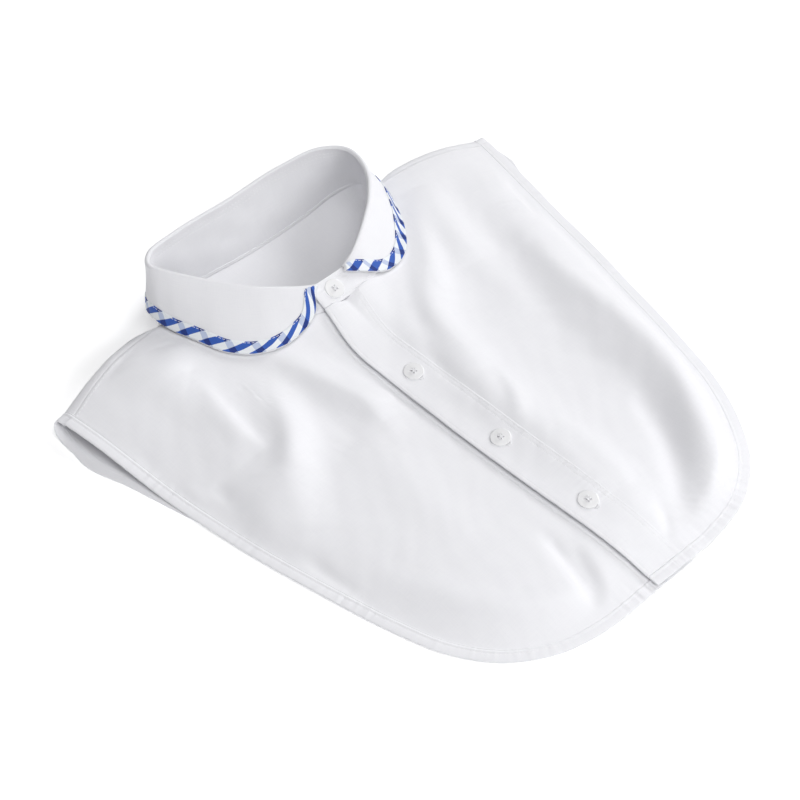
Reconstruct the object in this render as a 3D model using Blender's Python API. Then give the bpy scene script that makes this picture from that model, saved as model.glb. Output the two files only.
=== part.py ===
"""A white detachable shirt collar (dickey), laid flat on its back.

Two front panels buttoned at the centre lie over a back panel. A stand rises from the neck
seam, and a round-cornered fall turns over it, edged with a strip of bias-cut check.
Sizes are in millimetres until each mesh is made. X runs across the body, Y from the hem
(low) to the neck (high), Z up from the surface that the garment lies on.
"""

import math
from collections import namedtuple

import bmesh
import bpy
import numpy as np

for old in list(bpy.data.objects):
    bpy.data.objects.remove(old, do_unlink=True)

# Driving dimensions
CLOTH = 1.2
GAP = 0.3
LAYER = CLOTH + GAP
LAP_LIFT = LAYER + 0.4
PLACKET_WIDTH = 29.0
BINDING_WIDTH = 7.2
BINDING_SLOPE = 0.05
TRIM_WIDTH = 7.5
BUTTON_DIAMETER = 12.5
BUTTON_THICKNESS = 2.4
BUTTON_RIM = 1.5
BUTTON_DISH = 0.7
BUTTON_ROUND = 0.65
BUTTON_SIDES = 20
ROLL_RADIUS = 1.9
FALL_CLEARANCE = 2.1
FALL_DROP = 0.33
FALL_BELLY = 0.03
BELOW_SEAM = 7.0
TIP_SPREAD = 0.035
NECK_HALF = 88.0
TIP_FROM_NECK = 85.0
STAND_OVERLAP = 22.0
PUFF_HEIGHT = 11.0
PUFF_REACH = 26.0
PUFF_POWER = 1.3
NECK_REACH = 34.0
NECK_POWER = 1.15
FOLD_FADE = 14.0
LAP_REACH = 34.0
LAP_FADE = 18.0
EDGE_HEIGHT = 2.3
TIP_RISE = 8.0
TIP_REACH = 105.0
RING_SECTIONS = 49
FRONT_ROWS = 25
LAP_COLUMNS = 5
SHOULDER_COLUMNS = 6
SHOULDER_BOW = 3.0
SHOULDER_Y = 12.0

# Finishes
WHITE = (0.86, 0.86, 0.88)
CHECK_BLUE = (0.32, 0.45, 0.78)
BUTTON_WHITE = (0.88, 0.88, 0.88)
CLOTH_ROUGHNESS = 0.75
BUTTON_ROUGHNESS = 0.3

# The neck, one row for each section from the centre front round the wearer's right side
# (low X), the back and the wearer's left side to the centre front again. A section runs
# from the neck seam up the stand to the fold, and down the fall to its edge.
Section = namedtuple("Section", "seam fold edge")
NECK = (
    Section(seam=(-9, -57, 30.0), fold=(-9, -41, 37.5), edge=(-11, -43, 36.0)),
    Section(seam=(-21, -55, 29.4), fold=(-16, -38.5, 39.5), edge=(-20, -54.5, 32.0)),
    Section(seam=(-36, -49, 28.2), fold=(-26, -32.5, 42.0), edge=(-38.5, -59, 26.8)),
    Section(seam=(-54, -38, 26.4), fold=(-39, -22.5, 44.2), edge=(-58.5, -56, 24.4)),
    Section(seam=(-70, -22, 24.4), fold=(-52, -8, 46.2), edge=(-76, -39, 23.4)),
    Section(seam=(-82, -4, 22.2), fold=(-62.5, 7, 47.6), edge=(-83.5, -19, 23.0)),
    Section(seam=(-86, 11, 19.6), fold=(-70.5, 20.5, 48.4), edge=(-88, 1, 23.2)),
    Section(seam=(-82, 24, 15.0), fold=(-75, 32.5, 48.2), edge=(-88.5, 19.5, 22.4)),
    Section(seam=(-70, 33.5, 10.0), fold=(-68, 42, 47.2), edge=(-77, 38, 13.0)),
    Section(seam=(-45, 35.5, 6.0), fold=(-44, 47.5, 44.4), edge=(-49, 51, 5.0)),
    Section(seam=(2, 33, 4.2), fold=(2, 49.5, 41.6), edge=(2, 57, 2.6)),
    Section(seam=(49, 32.5, 5.8), fold=(46, 49, 42.8), edge=(51, 52.5, 5.0)),
    Section(seam=(76, 32, 10.0), fold=(71.5, 42, 45.6), edge=(79.5, 40.5, 13.0)),
    Section(seam=(89.5, 25, 15.0), fold=(81.5, 29.5, 47.2), edge=(93, 23, 22.5)),
    Section(seam=(90, 12, 19.6), fold=(81, 17, 48.2), edge=(92.5, 2.5, 23.0)),
    Section(seam=(84.5, -4, 22.2), fold=(75, 2.5, 47.8), edge=(84.5, -16.5, 22.6)),
    Section(seam=(75, -22, 24.4), fold=(61.5, -13, 46.8), edge=(73.4, -36, 22.8)),
    Section(seam=(59, -38, 26.4), fold=(47, -24, 44.4), edge=(58.5, -51.5, 23.6)),
    Section(seam=(41, -49, 28.2), fold=(33, -33, 42.2), edge=(42, -56, 25.0)),
    Section(seam=(26, -55, 29.4), fold=(22, -38.5, 40.0), edge=(24.5, -49.5, 30.5)),
    Section(seam=(14, -57, 30.0), fold=(14, -41, 38.0), edge=(13.5, -43, 36.2)),
)
SIDE_NECK = {-1: 6, +1: 14}
NECK_FRONT_Y = -57.5

# The middle of the placket, one row for each place down the centre front.
Middle = namedtuple("Middle", "y x")
CENTRE_FRONT = (
    Middle(-57, 0.5), Middle(-88, -4), Middle(-125, -2.5),
    Middle(-195, -1.5), Middle(-262, 1.5), Middle(-322, 7),
)
BUTTON_PLACES = (-123.0, -196.0, -264.0)

# The seam between each front panel and its binding, from the shoulder tip down to the hem.
# The panel's lower outer corner is the row numbered by CORNER.
Edge = namedtuple("Edge", "x y")
FRONT_EDGE = {
    -1: (
        Edge(-170, -4), Edge(-167, -28), Edge(-164, -56), Edge(-159, -100), Edge(-152, -150),
        Edge(-141, -205), Edge(-131, -246), Edge(-121, -275), Edge(-103, -300), Edge(-78, -316),
        Edge(-48, -322), Edge(-15, -322), Edge(21.5, -321),
    ),
    +1: (
        Edge(176, 0), Edge(172, -28), Edge(168, -60), Edge(163, -100), Edge(153, -150), Edge(142, -200),
        Edge(130, -243), Edge(116, -272), Edge(98, -296), Edge(74, -312), Edge(44, -319),
        Edge(15, -321),
        Edge(-7.5, -321),
    ),
}
CORNER = 7
HEM_Y = -321.0
BACK_EDGE = {
    -1: (
        Edge(-177, -30), Edge(-169, -60), Edge(-159.5, -100), Edge(-147, -150), Edge(-136.5, -205),
        Edge(-126, -246), Edge(-115, -273), Edge(-97, -296), Edge(-74, -310), Edge(-46, -317),
        Edge(-15, -318),
    ),
    +1: (
        Edge(176, -32), Edge(168, -60), Edge(160, -100), Edge(150, -150), Edge(139, -200),
        Edge(126, -243), Edge(112, -271), Edge(95, -293), Edge(71, -308), Edge(43, -315), Edge(15, -317),
    ),
}

# How the back panel turns up from the surface to its seams, in places measured from the seam:
# where it leaves the surface, where it would turn, and how far up the seam's height it aims.
Curl = namedtuple("Curl", "leaves turns aims")
SHOULDER_CURL = Curl(leaves=-16.0, turns=11.5, aims=1.0)
NECK_CURL = Curl(leaves=-25.0, turns=-14.0, aims=0.35)
NECK_AIM = -6.0

# The largest folds, one row for each: the line of its crest, and its half width and height.
Fold = namedtuple("Fold", "crest half_width height")
FOLDS = (
    Fold(((64, -66), (45, -84), (33, -115), (29, -150), (29, -210), (28, -275)), 12, 4.6),
    Fold(((152, -48), (144, -90), (129, -150), (117, -196), (108, -232), (84, -284)), 14, 5.6),
    Fold(((110, -8), (106, -34), (93, -84)), 12, 4.2),
    Fold(((-112, -30), (-115, -66), (-117, -106)), 9, 3.2),
    Fold(((-76, -62), (-84, -100), (-104, -136), (-130, -168)), 13, 4.6),
    Fold(((-36, -72), (-29, -96), (-27, -130)), 9, 3.4),
    Fold(((-52, -146), (-62, -196), (-60, -240)), 13, 3.4),
)


def curve_through(places, count):
    """Evenly spaced points on a smooth curve through the places."""
    places = np.array(places, float)
    steps = np.linalg.norm(np.diff(places, axis=0), axis=1)
    along = np.concatenate([[0.0], np.cumsum(steps)])
    slopes = np.gradient(places, along, axis=0)
    fine = np.linspace(0.0, along[-1], 40 * len(places))
    cell = np.clip(np.searchsorted(along, fine, side="right") - 1, 0, len(steps) - 1)
    part = ((fine - along[cell]) / steps[cell])[:, None]
    span = steps[cell][:, None]
    curve = (
        (2 * part**3 - 3 * part**2 + 1) * places[cell]
        + (part**3 - 2 * part**2 + part) * span * slopes[cell]
        + (3 * part**2 - 2 * part**3) * places[cell + 1]
        + (part**3 - part**2) * span * slopes[cell + 1]
    )
    length = np.concatenate([[0.0], np.cumsum(np.linalg.norm(np.diff(curve, axis=0), axis=1))])
    wanted = np.linspace(0.0, length[-1], count)
    return np.stack([np.interp(wanted, length, column) for column in curve.T], axis=1)


def nearest(x, y, line):
    """How far each place is from a line in plan, and which point of the line is nearest."""
    spread = np.hypot(np.asarray(x)[..., None] - line[:, 0], np.asarray(y)[..., None] - line[:, 1])
    return spread.min(axis=-1), spread.argmin(axis=-1)


def eased(value):
    """A smooth step from 0 to 1."""
    value = np.clip(value, 0.0, 1.0)
    return value * value * (3 - 2 * value)


def unit(vectors):
    return vectors / np.linalg.norm(vectors, axis=-1, keepdims=True)


def normals_of(grid):
    along = np.gradient(grid, axis=0)
    across = np.gradient(grid, axis=1)
    return unit(np.cross(along, across))


def neck_line(part, count=241):
    return curve_through([getattr(section, part) for section in NECK], count)


SEAM_LINE = neck_line("seam")
FRONT_LINE = {side: curve_through(FRONT_EDGE[side], 200) for side in FRONT_EDGE}
CREST_LINES = [curve_through(fold.crest, 60) for fold in FOLDS]
NECK_CENTRE = SEAM_LINE[:, :2].mean(axis=0)
MIDDLE_LINE = curve_through([(row.x, row.y) for row in CENTRE_FRONT], 160)


def middle_x(y):
    """The placket's middle at a place down the front."""
    return np.interp(-np.asarray(y), -MIDDLE_LINE[:, 1], MIDDLE_LINE[:, 0])


def front_height(x, y):
    """The mid-height of the front panels' cloth over the surface that the garment lies on."""
    edge_line = np.concatenate([FRONT_LINE[-1], FRONT_LINE[+1]])
    inwards, place = nearest(x, y, edge_line)
    edge_height = EDGE_HEIGHT + TIP_RISE * eased((edge_line[place, 1] + TIP_REACH) / TIP_REACH)
    puffed = edge_height + PUFF_HEIGHT * (1 - np.exp(-((inwards / PUFF_REACH) ** PUFF_POWER)))
    for fold, crest in zip(FOLDS, CREST_LINES):
        aside, spot = nearest(x, y, crest)
        ends = np.sqrt(np.sin(math.pi * np.clip(spot / (len(crest) - 1), 0.02, 0.98)))
        near_edge = eased(inwards / FOLD_FADE)
        puffed = puffed + near_edge * ends * fold.height * np.exp(-((aside / fold.half_width) ** 2))
    from_neck, spot = nearest(x, y, SEAM_LINE)
    risen = np.exp(-((from_neck / NECK_REACH) ** NECK_POWER))
    return puffed + (SEAM_LINE[spot, 2] - puffed) * risen


def steepness(x, y, step=1.5):
    """How much longer a lift must be straight up than square to the front's slope."""
    slope_x = (front_height(x + step, y) - front_height(x - step, y)) / (2 * step)
    slope_y = (front_height(x, y + step) - front_height(x, y - step)) / (2 * step)
    return np.sqrt(1 + slope_x**2 + slope_y**2)


def over_height(x, y, lift=0.0):
    """The wearer's left front, which laps over the right one at the placket, or a layer on it."""
    lap = eased((middle_x(y) + LAP_REACH - x) / LAP_FADE)
    return front_height(x, y) + (LAP_LIFT * lap + lift) * steepness(x, y)


def under_height(x, y, lift=0.0):
    return front_height(x, y) + lift * steepness(x, y)


def coons_patch(top, bottom, start, end):
    """Points inside four plan curves. Top and bottom run from start to end."""
    u = np.linspace(0, 1, len(top))[None, :, None]
    v = np.linspace(0, 1, len(start))[:, None, None]
    across = (1 - v) * top[None] + v * bottom[None]
    down = (1 - u) * start[:, None] + u * end[:, None]
    corners = (
        (1 - u) * (1 - v) * top[0] + u * (1 - v) * top[-1] + (1 - u) * v * bottom[0] + u * v * bottom[-1]
    )
    return across + down - corners


def bezier(start, first, second, end, part):
    rest = 1 - part
    return rest**3 * start + 3 * rest**2 * part * first + 3 * rest * part**2 * second + part**3 * end


def make_wall(name, middle, colour):
    """A sheet of cloth with real thickness about a grid of points in its middle."""
    normal = normals_of(middle)
    outer = middle + normal * CLOTH / 2
    inner = middle - normal * CLOTH / 2
    rows, columns = middle.shape[:2]
    mesh = bpy.data.meshes.new(name)
    solid = bmesh.new()
    layers = [
        [[solid.verts.new(place * 0.001) for place in row] for row in layer] for layer in (outer, inner)
    ]
    for layer in layers:
        for i in range(rows - 1):
            for j in range(columns - 1):
                solid.faces.new((layer[i][j], layer[i + 1][j], layer[i + 1][j + 1], layer[i][j + 1]))
    rim = [(0, j) for j in range(columns)]
    rim += [(i, columns - 1) for i in range(1, rows)]
    rim += [(rows - 1, j) for j in range(columns - 2, -1, -1)]
    rim += [(i, 0) for i in range(rows - 2, 0, -1)]
    for (i, j), (k, m) in zip(rim, rim[1:] + rim[:1]):
        solid.faces.new((layers[0][i][j], layers[0][k][m], layers[1][k][m], layers[1][i][j]))
    bmesh.ops.recalc_face_normals(solid, faces=solid.faces)
    solid.to_mesh(mesh)
    solid.free()
    add_part(name, mesh, colour, CLOTH_ROUGHNESS)


def add_part(name, mesh, colour, roughness):
    bpy.context.collection.objects.link(bpy.data.objects.new(name, mesh))
    material = bpy.data.materials.new(name)
    material.use_nodes = True
    shader = material.node_tree.nodes["Principled BSDF"]
    shader.inputs["Base Color"].default_value = (*colour, 1)
    shader.inputs["Roughness"].default_value = roughness
    shader.inputs["Metallic"].default_value = 0
    mesh.materials.append(material)
    mesh.shade_smooth()
    mesh.set_sharp_from_angle(angle=math.radians(40))


def ring_frames():
    """Evenly spaced sections round the neck, each with its directions up the stand and out."""
    parts = [np.array([getattr(section, part) for section in NECK], float) for part in Section._fields]
    both = curve_through(np.concatenate(parts, axis=1), RING_SECTIONS)
    seam, fold, edge = both[:, :3], both[:, 3:6], both[:, 6:]
    up = unit(fold - seam)
    out = unit(np.cross(up, np.gradient(fold, axis=0)))
    return seam, fold, edge, up, out


def side_neck(side):
    """Which ring section meets the shoulder seam."""
    seam = ring_frames()[0]
    return int(nearest(*NECK[SIDE_NECK[side]].seam[:2], seam)[1])


def rows_down():
    """Places down the centre front, closer together near the neck."""
    top = NECK_FRONT_Y - GAP - CLOTH / 2
    return top + (HEM_Y - top) * np.linspace(0, 1, FRONT_ROWS) ** 1.25


def shoulder_line(side, neck_side):
    """The shoulder seam in plan, bowed a little towards the back, from beside the neck to the tip."""
    line = np.linspace(neck_side, FRONT_EDGE[side][0], SHOULDER_COLUMNS + 1)
    line[:, 1] += SHOULDER_BOW * np.sin(np.linspace(0, math.pi, len(line)))
    return line[1:]


def lap_plan(side):
    """The placket's plan, in columns from the free edge of the wearer's left (+1) or right (-1) front."""
    across = np.linspace(-side * PLACKET_WIDTH / 2, side * PLACKET_WIDTH / 2, LAP_COLUMNS)
    x = middle_x(rows_down())[:, None] + across
    return np.dstack([x, np.repeat(rows_down()[:, None], LAP_COLUMNS, axis=1)])


def front_panel(side):
    """One front panel, from under or over the placket out to its binding."""
    lap = lap_plan(side)
    ring = ring_frames()[0][:, :2]
    neck = ring[1: side_neck(-1) + 1] if side < 0 else ring[side_neck(+1): -1][::-1]
    shoulder = shoulder_line(side, neck[-1]) - [0, 2 * GAP]
    start = lap[:, -1]
    top = np.concatenate([start[:1], neck - [0, GAP + CLOTH / 2], shoulder])
    edge = FRONT_LINE[side]
    corner = nearest(*FRONT_EDGE[side][CORNER], edge)[1]
    end = curve_through([top[-1], *edge[1: corner + 1]], FRONT_ROWS)
    hem = edge[corner:][::-1]
    beside_lap = side * (hem[:, 0] - start[-1, 0]) > 1
    bottom = curve_through([start[-1], *hem[beside_lap]], len(top))
    plan = np.concatenate([lap[:, :-1], coons_patch(top, bottom, start, end)], axis=1)
    height = over_height if side > 0 else under_height
    return np.dstack([plan, height(plan[..., 0], plan[..., 1])])


def back_panel(flat_rows=8, curl_rows=7):
    """The back panel, flat on its surface, turned up to the neck seam and over the shoulders."""
    seam = ring_frames()[0][side_neck(-1): side_neck(+1) + 1]
    for side in (-1, +1):
        x, y = shoulder_line(side, seam[0 if side < 0 else -1, :2]).T
        shoulder = np.stack([x, y, front_height(x, y)], axis=1)
        seam = np.concatenate([shoulder[::-1], seam] if side < 0 else [seam, shoulder])
    place = np.arange(len(seam))
    over = eased((SHOULDER_COLUMNS + 4 - np.minimum(place, place[::-1])) / 7)
    leaves, turns, aims = [over * tip + (1 - over) * neck for tip, neck in zip(SHOULDER_CURL, NECK_CURL)]
    across, forward, height = seam.T
    low = np.full(len(seam), CLOTH / 2)
    spread = across * (1 + TIP_SPREAD * eased((np.abs(across) - NECK_HALF) / TIP_FROM_NECK))
    base = np.stack([spread, forward + leaves, low], axis=1)
    first = np.stack([spread, forward + turns, low], axis=1)
    aim = forward + over * SHOULDER_CURL.turns + (1 - over) * NECK_AIM
    second = np.stack([across, aim, height * aims], axis=1)
    curl = [bezier(base, first, second, seam, part) for part in np.linspace(0, 1, curl_rows + 1)[1:]]
    sides = []
    hem = []
    for side, start in ((-1, base[0]), (+1, base[-1])):
        edge = curve_through([start[:2], *BACK_EDGE[side]], 400)
        corner = nearest(*BACK_EDGE[side][CORNER - 1], edge)[1]
        sides.append(curve_through(edge[: corner + 1], flat_rows))
        hem.append(edge[corner:])
    bottom = curve_through(np.concatenate([hem[0], hem[1][::-1]]), len(seam))
    plan = coons_patch(base[:, :2], bottom, *sides)
    flat = np.dstack([plan, np.full(plan.shape[:2], CLOTH / 2)])
    return np.concatenate([flat[::-1], np.array(curl)], axis=0)


def lap_shift(count):
    """How far each section moves out where the collar's ends lap: the wearer's left end over the right."""
    place = np.arange(count)
    return LAYER / 2 * (eased((place - count + 8) / 6) - eased((7 - place) / 6))


def stand_wall(rows=4):
    """The collar stand, from the neck seam to the fold, its two ends lapping at the centre front."""
    seam, fold, _, up, out = ring_frames()
    top = fold - up * (ROLL_RADIUS + CLOTH / 2 + GAP)
    bottom = seam + up * (2 * GAP + CLOTH / 2)
    far = np.array([STAND_OVERLAP, 0, 0])
    bottom = np.concatenate([[bottom[0] + far], bottom, [bottom[-1] - far]])
    top = np.concatenate([[top[0] + far], top, [top[-1] - far]])
    out = np.concatenate([out[:1], out, out[-1:]])
    part = np.linspace(0, 1, rows)[:, None, None]
    return bottom + (top - bottom) * part + out * lap_shift(len(top))[:, None]


def fall_sheet(roll_rows=5, drop_rows=7):
    """The fall: a tight roll at the stand's top, then the cloth down to the outer edge."""
    seam, fold, edge, up, out = ring_frames()
    root = fold - up * (ROLL_RADIUS + CLOTH / 2)
    centre = root + out * ROLL_RADIUS
    rows = []
    for turn in np.linspace(0, math.pi, roll_rows):
        rows.append(centre + ROLL_RADIUS * (math.sin(turn) * up - math.cos(turn) * out))
    start = rows[-1]
    length = np.linalg.norm(edge - start, axis=1, keepdims=True)
    first = start - up * length * FALL_DROP
    second = edge + (start - edge) * FALL_DROP + out * length * FALL_BELLY
    for part in np.linspace(0, 1, drop_rows + 1)[1:]:
        row = bezier(start, first, second, edge, part)
        along = ((row - seam) * up).sum(axis=1)
        clear = FALL_CLEARANCE + np.maximum(lap_shift(len(row)), 0)
        short = np.where(along > -BELOW_SEAM, clear - ((row - seam) * out).sum(axis=1), 0)
        rows.append(row + out * np.maximum(short, 0)[:, None])
    return laid_over_fronts(np.array(rows))


def laid_over_fronts(sheet):
    """The sheet with each of its points raised, where it must be, to clear the front panels."""
    x, y = sheet[..., 0], sheet[..., 1]
    lift = LAYER + GAP
    under = np.where(x < middle_x(y), under_height(x, y, lift), over_height(x, y, lift))
    from_centre = np.hypot(x - NECK_CENTRE[0], y - NECK_CENTRE[1])
    seam_place = nearest(x, y, SEAM_LINE)[1]
    seam_reach = np.linalg.norm(SEAM_LINE[seam_place, :2] - NECK_CENTRE, axis=-1)
    outside = (y < SHOULDER_Y) & (from_centre > seam_reach - ROLL_RADIUS)
    cleared = sheet.copy()
    cleared[..., 2] = np.where(outside, np.maximum(sheet[..., 2], under), sheet[..., 2])
    return cleared


def trim_strip(fall, rows=4, roll_rows=4, steps=40):
    """The strip along the fall's edge, made from the fall's points and moved out."""
    outer = fall + outward(fall) * (LAYER + GAP)
    strip = []
    for column in range(1, fall.shape[1] - 1):
        line = curve_through(outer[roll_rows:, column], steps)
        away = np.linalg.norm(line[:, None] - outer[-1][None], axis=2).min(axis=1)
        inner = np.argmax(away <= TRIM_WIDTH)
        strip.append(line[np.linspace(inner, steps - 1, rows).round().astype(int)])
    return np.array(strip).transpose(1, 0, 2)


def outward(grid):
    """Normals on the side of the grid away from the neck."""
    normal = normals_of(grid)
    away = grid[..., :2] - NECK_CENTRE
    return normal * np.sign((normal[..., :2] * away).sum(axis=-1).mean())


def binding_strip(side, rows=2, count=44):
    """The strip that binds a front's armhole and hem, lying beyond the panel's edge."""
    edge = curve_through(FRONT_LINE[side], count)
    edge[0] += unit(edge[1] - edge[0]) * 2 * GAP
    out = beyond(edge, side)
    height = over_height if side > 0 else under_height
    heights = height(edge[:, 0], edge[:, 1])
    strip = []
    for reach in np.linspace(2 * GAP, BINDING_WIDTH, rows):
        plan = edge + out * reach
        strip.append(np.column_stack([plan, heights - BINDING_SLOPE * reach]))
    return np.array(strip)


def back_binding_strip(panel, rows=2):
    """The strip that binds the back's armholes and hem, following the panel's own edge."""
    edge = np.concatenate([panel[::-1, 0], panel[0, 1:-1], panel[:, -1]])
    inside = np.concatenate([panel[::-1, 1], panel[1, 1:-1], panel[:, -2]])
    along = unit(np.gradient(edge, axis=0))
    out = edge - inside
    out = unit(out - along * (out * along).sum(axis=1, keepdims=True))
    for _ in range(3):
        out[1:-1] = unit(out[:-2] + out[1:-1] + out[2:])
    return np.array([edge + out * reach for reach in np.linspace(2 * GAP, BINDING_WIDTH, rows)])


def beyond(edge, side):
    """Plan directions that point out of a panel's edge."""
    along = unit(np.gradient(edge, axis=0))
    return np.stack([along[:, 1], -along[:, 0]], axis=1) * -side


def placket_strip():
    """The buttoned strip, made from the points of the wearer's left front and moved out."""
    front = front_panel(+1)[:, : LAP_COLUMNS + 1]
    return (front + normals_of(front) * LAYER)[:, :LAP_COLUMNS]


def surface_frame(x, y, height):
    """A place on a surface and its normal there."""
    step = 2.0
    slope_x = (height(x + step, y) - height(x - step, y)) / (2 * step)
    slope_y = (height(x, y + step) - height(x, y - step)) / (2 * step)
    return np.array([x, y, height(x, y)], float), unit(np.array([-slope_x, -slope_y, 1.0], float))


def make_button(name, place, normal):
    """A turned shirt button: a raised rim round a shallow dish."""
    radius = BUTTON_DIAMETER / 2
    top = BUTTON_THICKNESS
    dish = radius - BUTTON_RIM
    profile = (
        (radius - BUTTON_ROUND, 0), (radius, BUTTON_ROUND), (radius, top - BUTTON_ROUND),
        (radius - BUTTON_ROUND, top), (dish + BUTTON_ROUND / 2, top),
        (dish - BUTTON_ROUND / 2, top - BUTTON_DISH),
    )
    sides = BUTTON_SIDES
    mesh = bpy.data.meshes.new(name)
    solid = bmesh.new()
    rings = []
    for reach, level in profile:
        turns = [2 * math.pi * k / sides for k in range(sides)]
        rings.append([solid.verts.new((reach * math.cos(t), reach * math.sin(t), level)) for t in turns])
    for lower, upper in zip(rings, rings[1:]):
        for k in range(sides):
            m = (k + 1) % sides
            solid.faces.new((lower[k], lower[m], upper[m], upper[k]))
    solid.faces.new(rings[0])
    solid.faces.new(rings[-1])
    bmesh.ops.recalc_face_normals(solid, faces=solid.faces)
    across = unit(np.cross([0.0, 1.0, 0.0], normal))
    turned = np.stack([across, np.cross(normal, across), normal], axis=1)
    for vertex in solid.verts:
        vertex.co = (place + turned @ np.array(vertex.co)) * 0.001
    solid.to_mesh(mesh)
    solid.free()
    add_part(name, mesh, BUTTON_WHITE, BUTTON_ROUGHNESS)


back = back_panel()
make_wall("back_panel", back, WHITE)
make_wall("binding_back", back_binding_strip(back), WHITE)
make_wall("front_right", front_panel(-1), WHITE)
make_wall("front_left", front_panel(+1), WHITE)
make_wall("binding_front_right", binding_strip(-1), WHITE)
make_wall("binding_front_left", binding_strip(+1), WHITE)
make_wall("placket", placket_strip(), WHITE)
make_wall("collar_stand", stand_wall(), WHITE)
fall = fall_sheet()
make_wall("collar_fall", fall, WHITE)
make_wall("collar_trim", trim_strip(fall), CHECK_BLUE)

seat = LAP_LIFT + LAYER + CLOTH / 2 + GAP
for number, y in enumerate(BUTTON_PLACES, start=2):
    place, normal = surface_frame(float(middle_x(y)), y, front_height)
    make_button(f"button_{number}", place + normal * seat, normal)

# The top button holds the stand's upper end over its lower end.
stand = stand_wall()
upper_end = stand[:, -1]
button_stand = upper_end[0] + (upper_end[-1] - upper_end[0]) * 0.5 + np.array([STAND_OVERLAP / 2, 0, 0])
stand_up = unit(upper_end[-1] - upper_end[0])
stand_normal = unit(np.cross([1.0, 0.0, 0.0], stand_up))
make_button("button_1", button_stand + stand_normal * (CLOTH / 2 + GAP), stand_normal)

# The whole garment is moved so that it stands over the origin, with its underside at zero.
corners = np.array([vertex.co[:] for part in bpy.data.objects for vertex in part.data.vertices])
low, high = corners.min(axis=0), corners.max(axis=0)
SEAT_SHIFT = (-(low[0] + high[0]) / 2, -(low[1] + high[1]) / 2, -low[2])
for part in bpy.data.objects:
    for vertex in part.data.vertices:
        vertex.co = [place + move for place, move in zip(vertex.co, SEAT_SHIFT)]
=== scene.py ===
"""A white detachable shirt collar laid flat on a white table, dressed over its solids.

Sizes are in millimetres and become metres when a mesh is made. X runs across the body, Y from
the hem (low) to the neck (high), Z up from the table.
"""

import math
from collections import namedtuple

import bpy
import numpy as np
from mathutils import Matrix, Vector


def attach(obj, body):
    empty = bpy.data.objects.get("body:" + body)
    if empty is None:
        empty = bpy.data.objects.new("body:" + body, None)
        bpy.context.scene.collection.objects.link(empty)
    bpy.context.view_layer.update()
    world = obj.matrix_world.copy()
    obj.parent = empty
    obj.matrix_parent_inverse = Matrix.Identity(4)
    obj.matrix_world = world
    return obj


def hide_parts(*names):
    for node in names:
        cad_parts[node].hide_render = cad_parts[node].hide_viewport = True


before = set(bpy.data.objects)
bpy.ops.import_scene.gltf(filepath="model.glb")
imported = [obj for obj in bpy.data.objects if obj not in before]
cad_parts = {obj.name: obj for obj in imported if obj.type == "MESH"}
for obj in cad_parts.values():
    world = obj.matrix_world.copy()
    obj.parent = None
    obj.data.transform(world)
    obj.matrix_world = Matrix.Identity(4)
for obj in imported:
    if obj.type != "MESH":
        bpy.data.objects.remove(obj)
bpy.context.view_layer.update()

# The table top, the light and the camera
# The table is plain and white. Soft light falls from above, from the wearer's left and from beyond
# the hem, and the camera looks down from there, a little to the wearer's right.
TABLE_SIZE = 8.0
TABLE_DROP = -0.0002
CAMERA_AZIMUTH = math.radians(-43.6)
CAMERA_ELEVATION = math.radians(47.42)
CAMERA_DISTANCE = 1.5755
CAMERA_TARGET = Vector((-0.0157, 0.01355, 0.0))
LENS = 117.0

bpy.ops.object.select_all(action="DESELECT")
bpy.ops.mesh.primitive_plane_add(size=TABLE_SIZE, location=(0, 0, TABLE_DROP))
table = bpy.context.object
table.name = "table_top"
table_white = bpy.data.materials.new("table_white")
table_white.use_nodes = True
table_shader = table_white.node_tree.nodes["Principled BSDF"]
table_shader.inputs["Base Color"].default_value = (1, 1, 1, 1)
table_shader.inputs["Emission Color"].default_value = (1, 1, 1, 1)
table_shader.inputs["Emission Strength"].default_value = 0.26
table_shader.inputs["Roughness"].default_value = 0.9
table.data.materials.append(table_white)

back_of_camera = Vector((
    math.sin(CAMERA_AZIMUTH) * math.cos(CAMERA_ELEVATION),
    -math.cos(CAMERA_AZIMUTH) * math.cos(CAMERA_ELEVATION),
    math.sin(CAMERA_ELEVATION),
))
bpy.ops.object.camera_add(location=CAMERA_TARGET + back_of_camera * CAMERA_DISTANCE)
camera = bpy.context.object
camera.rotation_euler = back_of_camera.to_track_quat("Z", "Y").to_euler()
camera.data.lens = LENS
camera.data.sensor_width = 36
bpy.context.scene.camera = camera

daylight = bpy.data.worlds.new("daylight")
daylight.use_nodes = True
daylight.node_tree.nodes["Background"].inputs["Color"].default_value = (0.93, 0.94, 1.0, 1)
daylight.node_tree.nodes["Background"].inputs["Strength"].default_value = 0.06
bpy.context.scene.world = daylight
bpy.context.scene.view_settings.view_transform = "Standard"

Lamp = namedtuple("Lamp", "name place size power")
LAMPS = (
    Lamp("ceiling", (-0.3, -0.2, 2.6), 2.4, 35.5),
    Lamp("side_window", (3.8, 0.57, 2.2), 1.6, 102.0),
    Lamp("front_window", (0.2, -2.0, 1.2), 1.2, 21.0),
    Lamp("far_wall", (-1.6, -0.9, 1.0), 1.2, 7.0),
)
for lamp in LAMPS:
    bpy.ops.object.light_add(type="AREA", location=lamp.place)
    light = bpy.context.object
    light.name = lamp.name
    light.data.size = lamp.size
    light.data.energy = lamp.power
    light.rotation_euler = Vector(lamp.place).to_track_quat("Z", "Y").to_euler()


# The back panel
# One piece of white shirting lies on the table. Beyond each shoulder seam and the neck seam it
# turns up and over to meet the fronts and the collar, so its inner face shows inside the neck.
SEAT = np.array([-3.102, 135.150, 0.0])
CLOTH = 0.55
WALL = 1.2
GAP = 0.3

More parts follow.
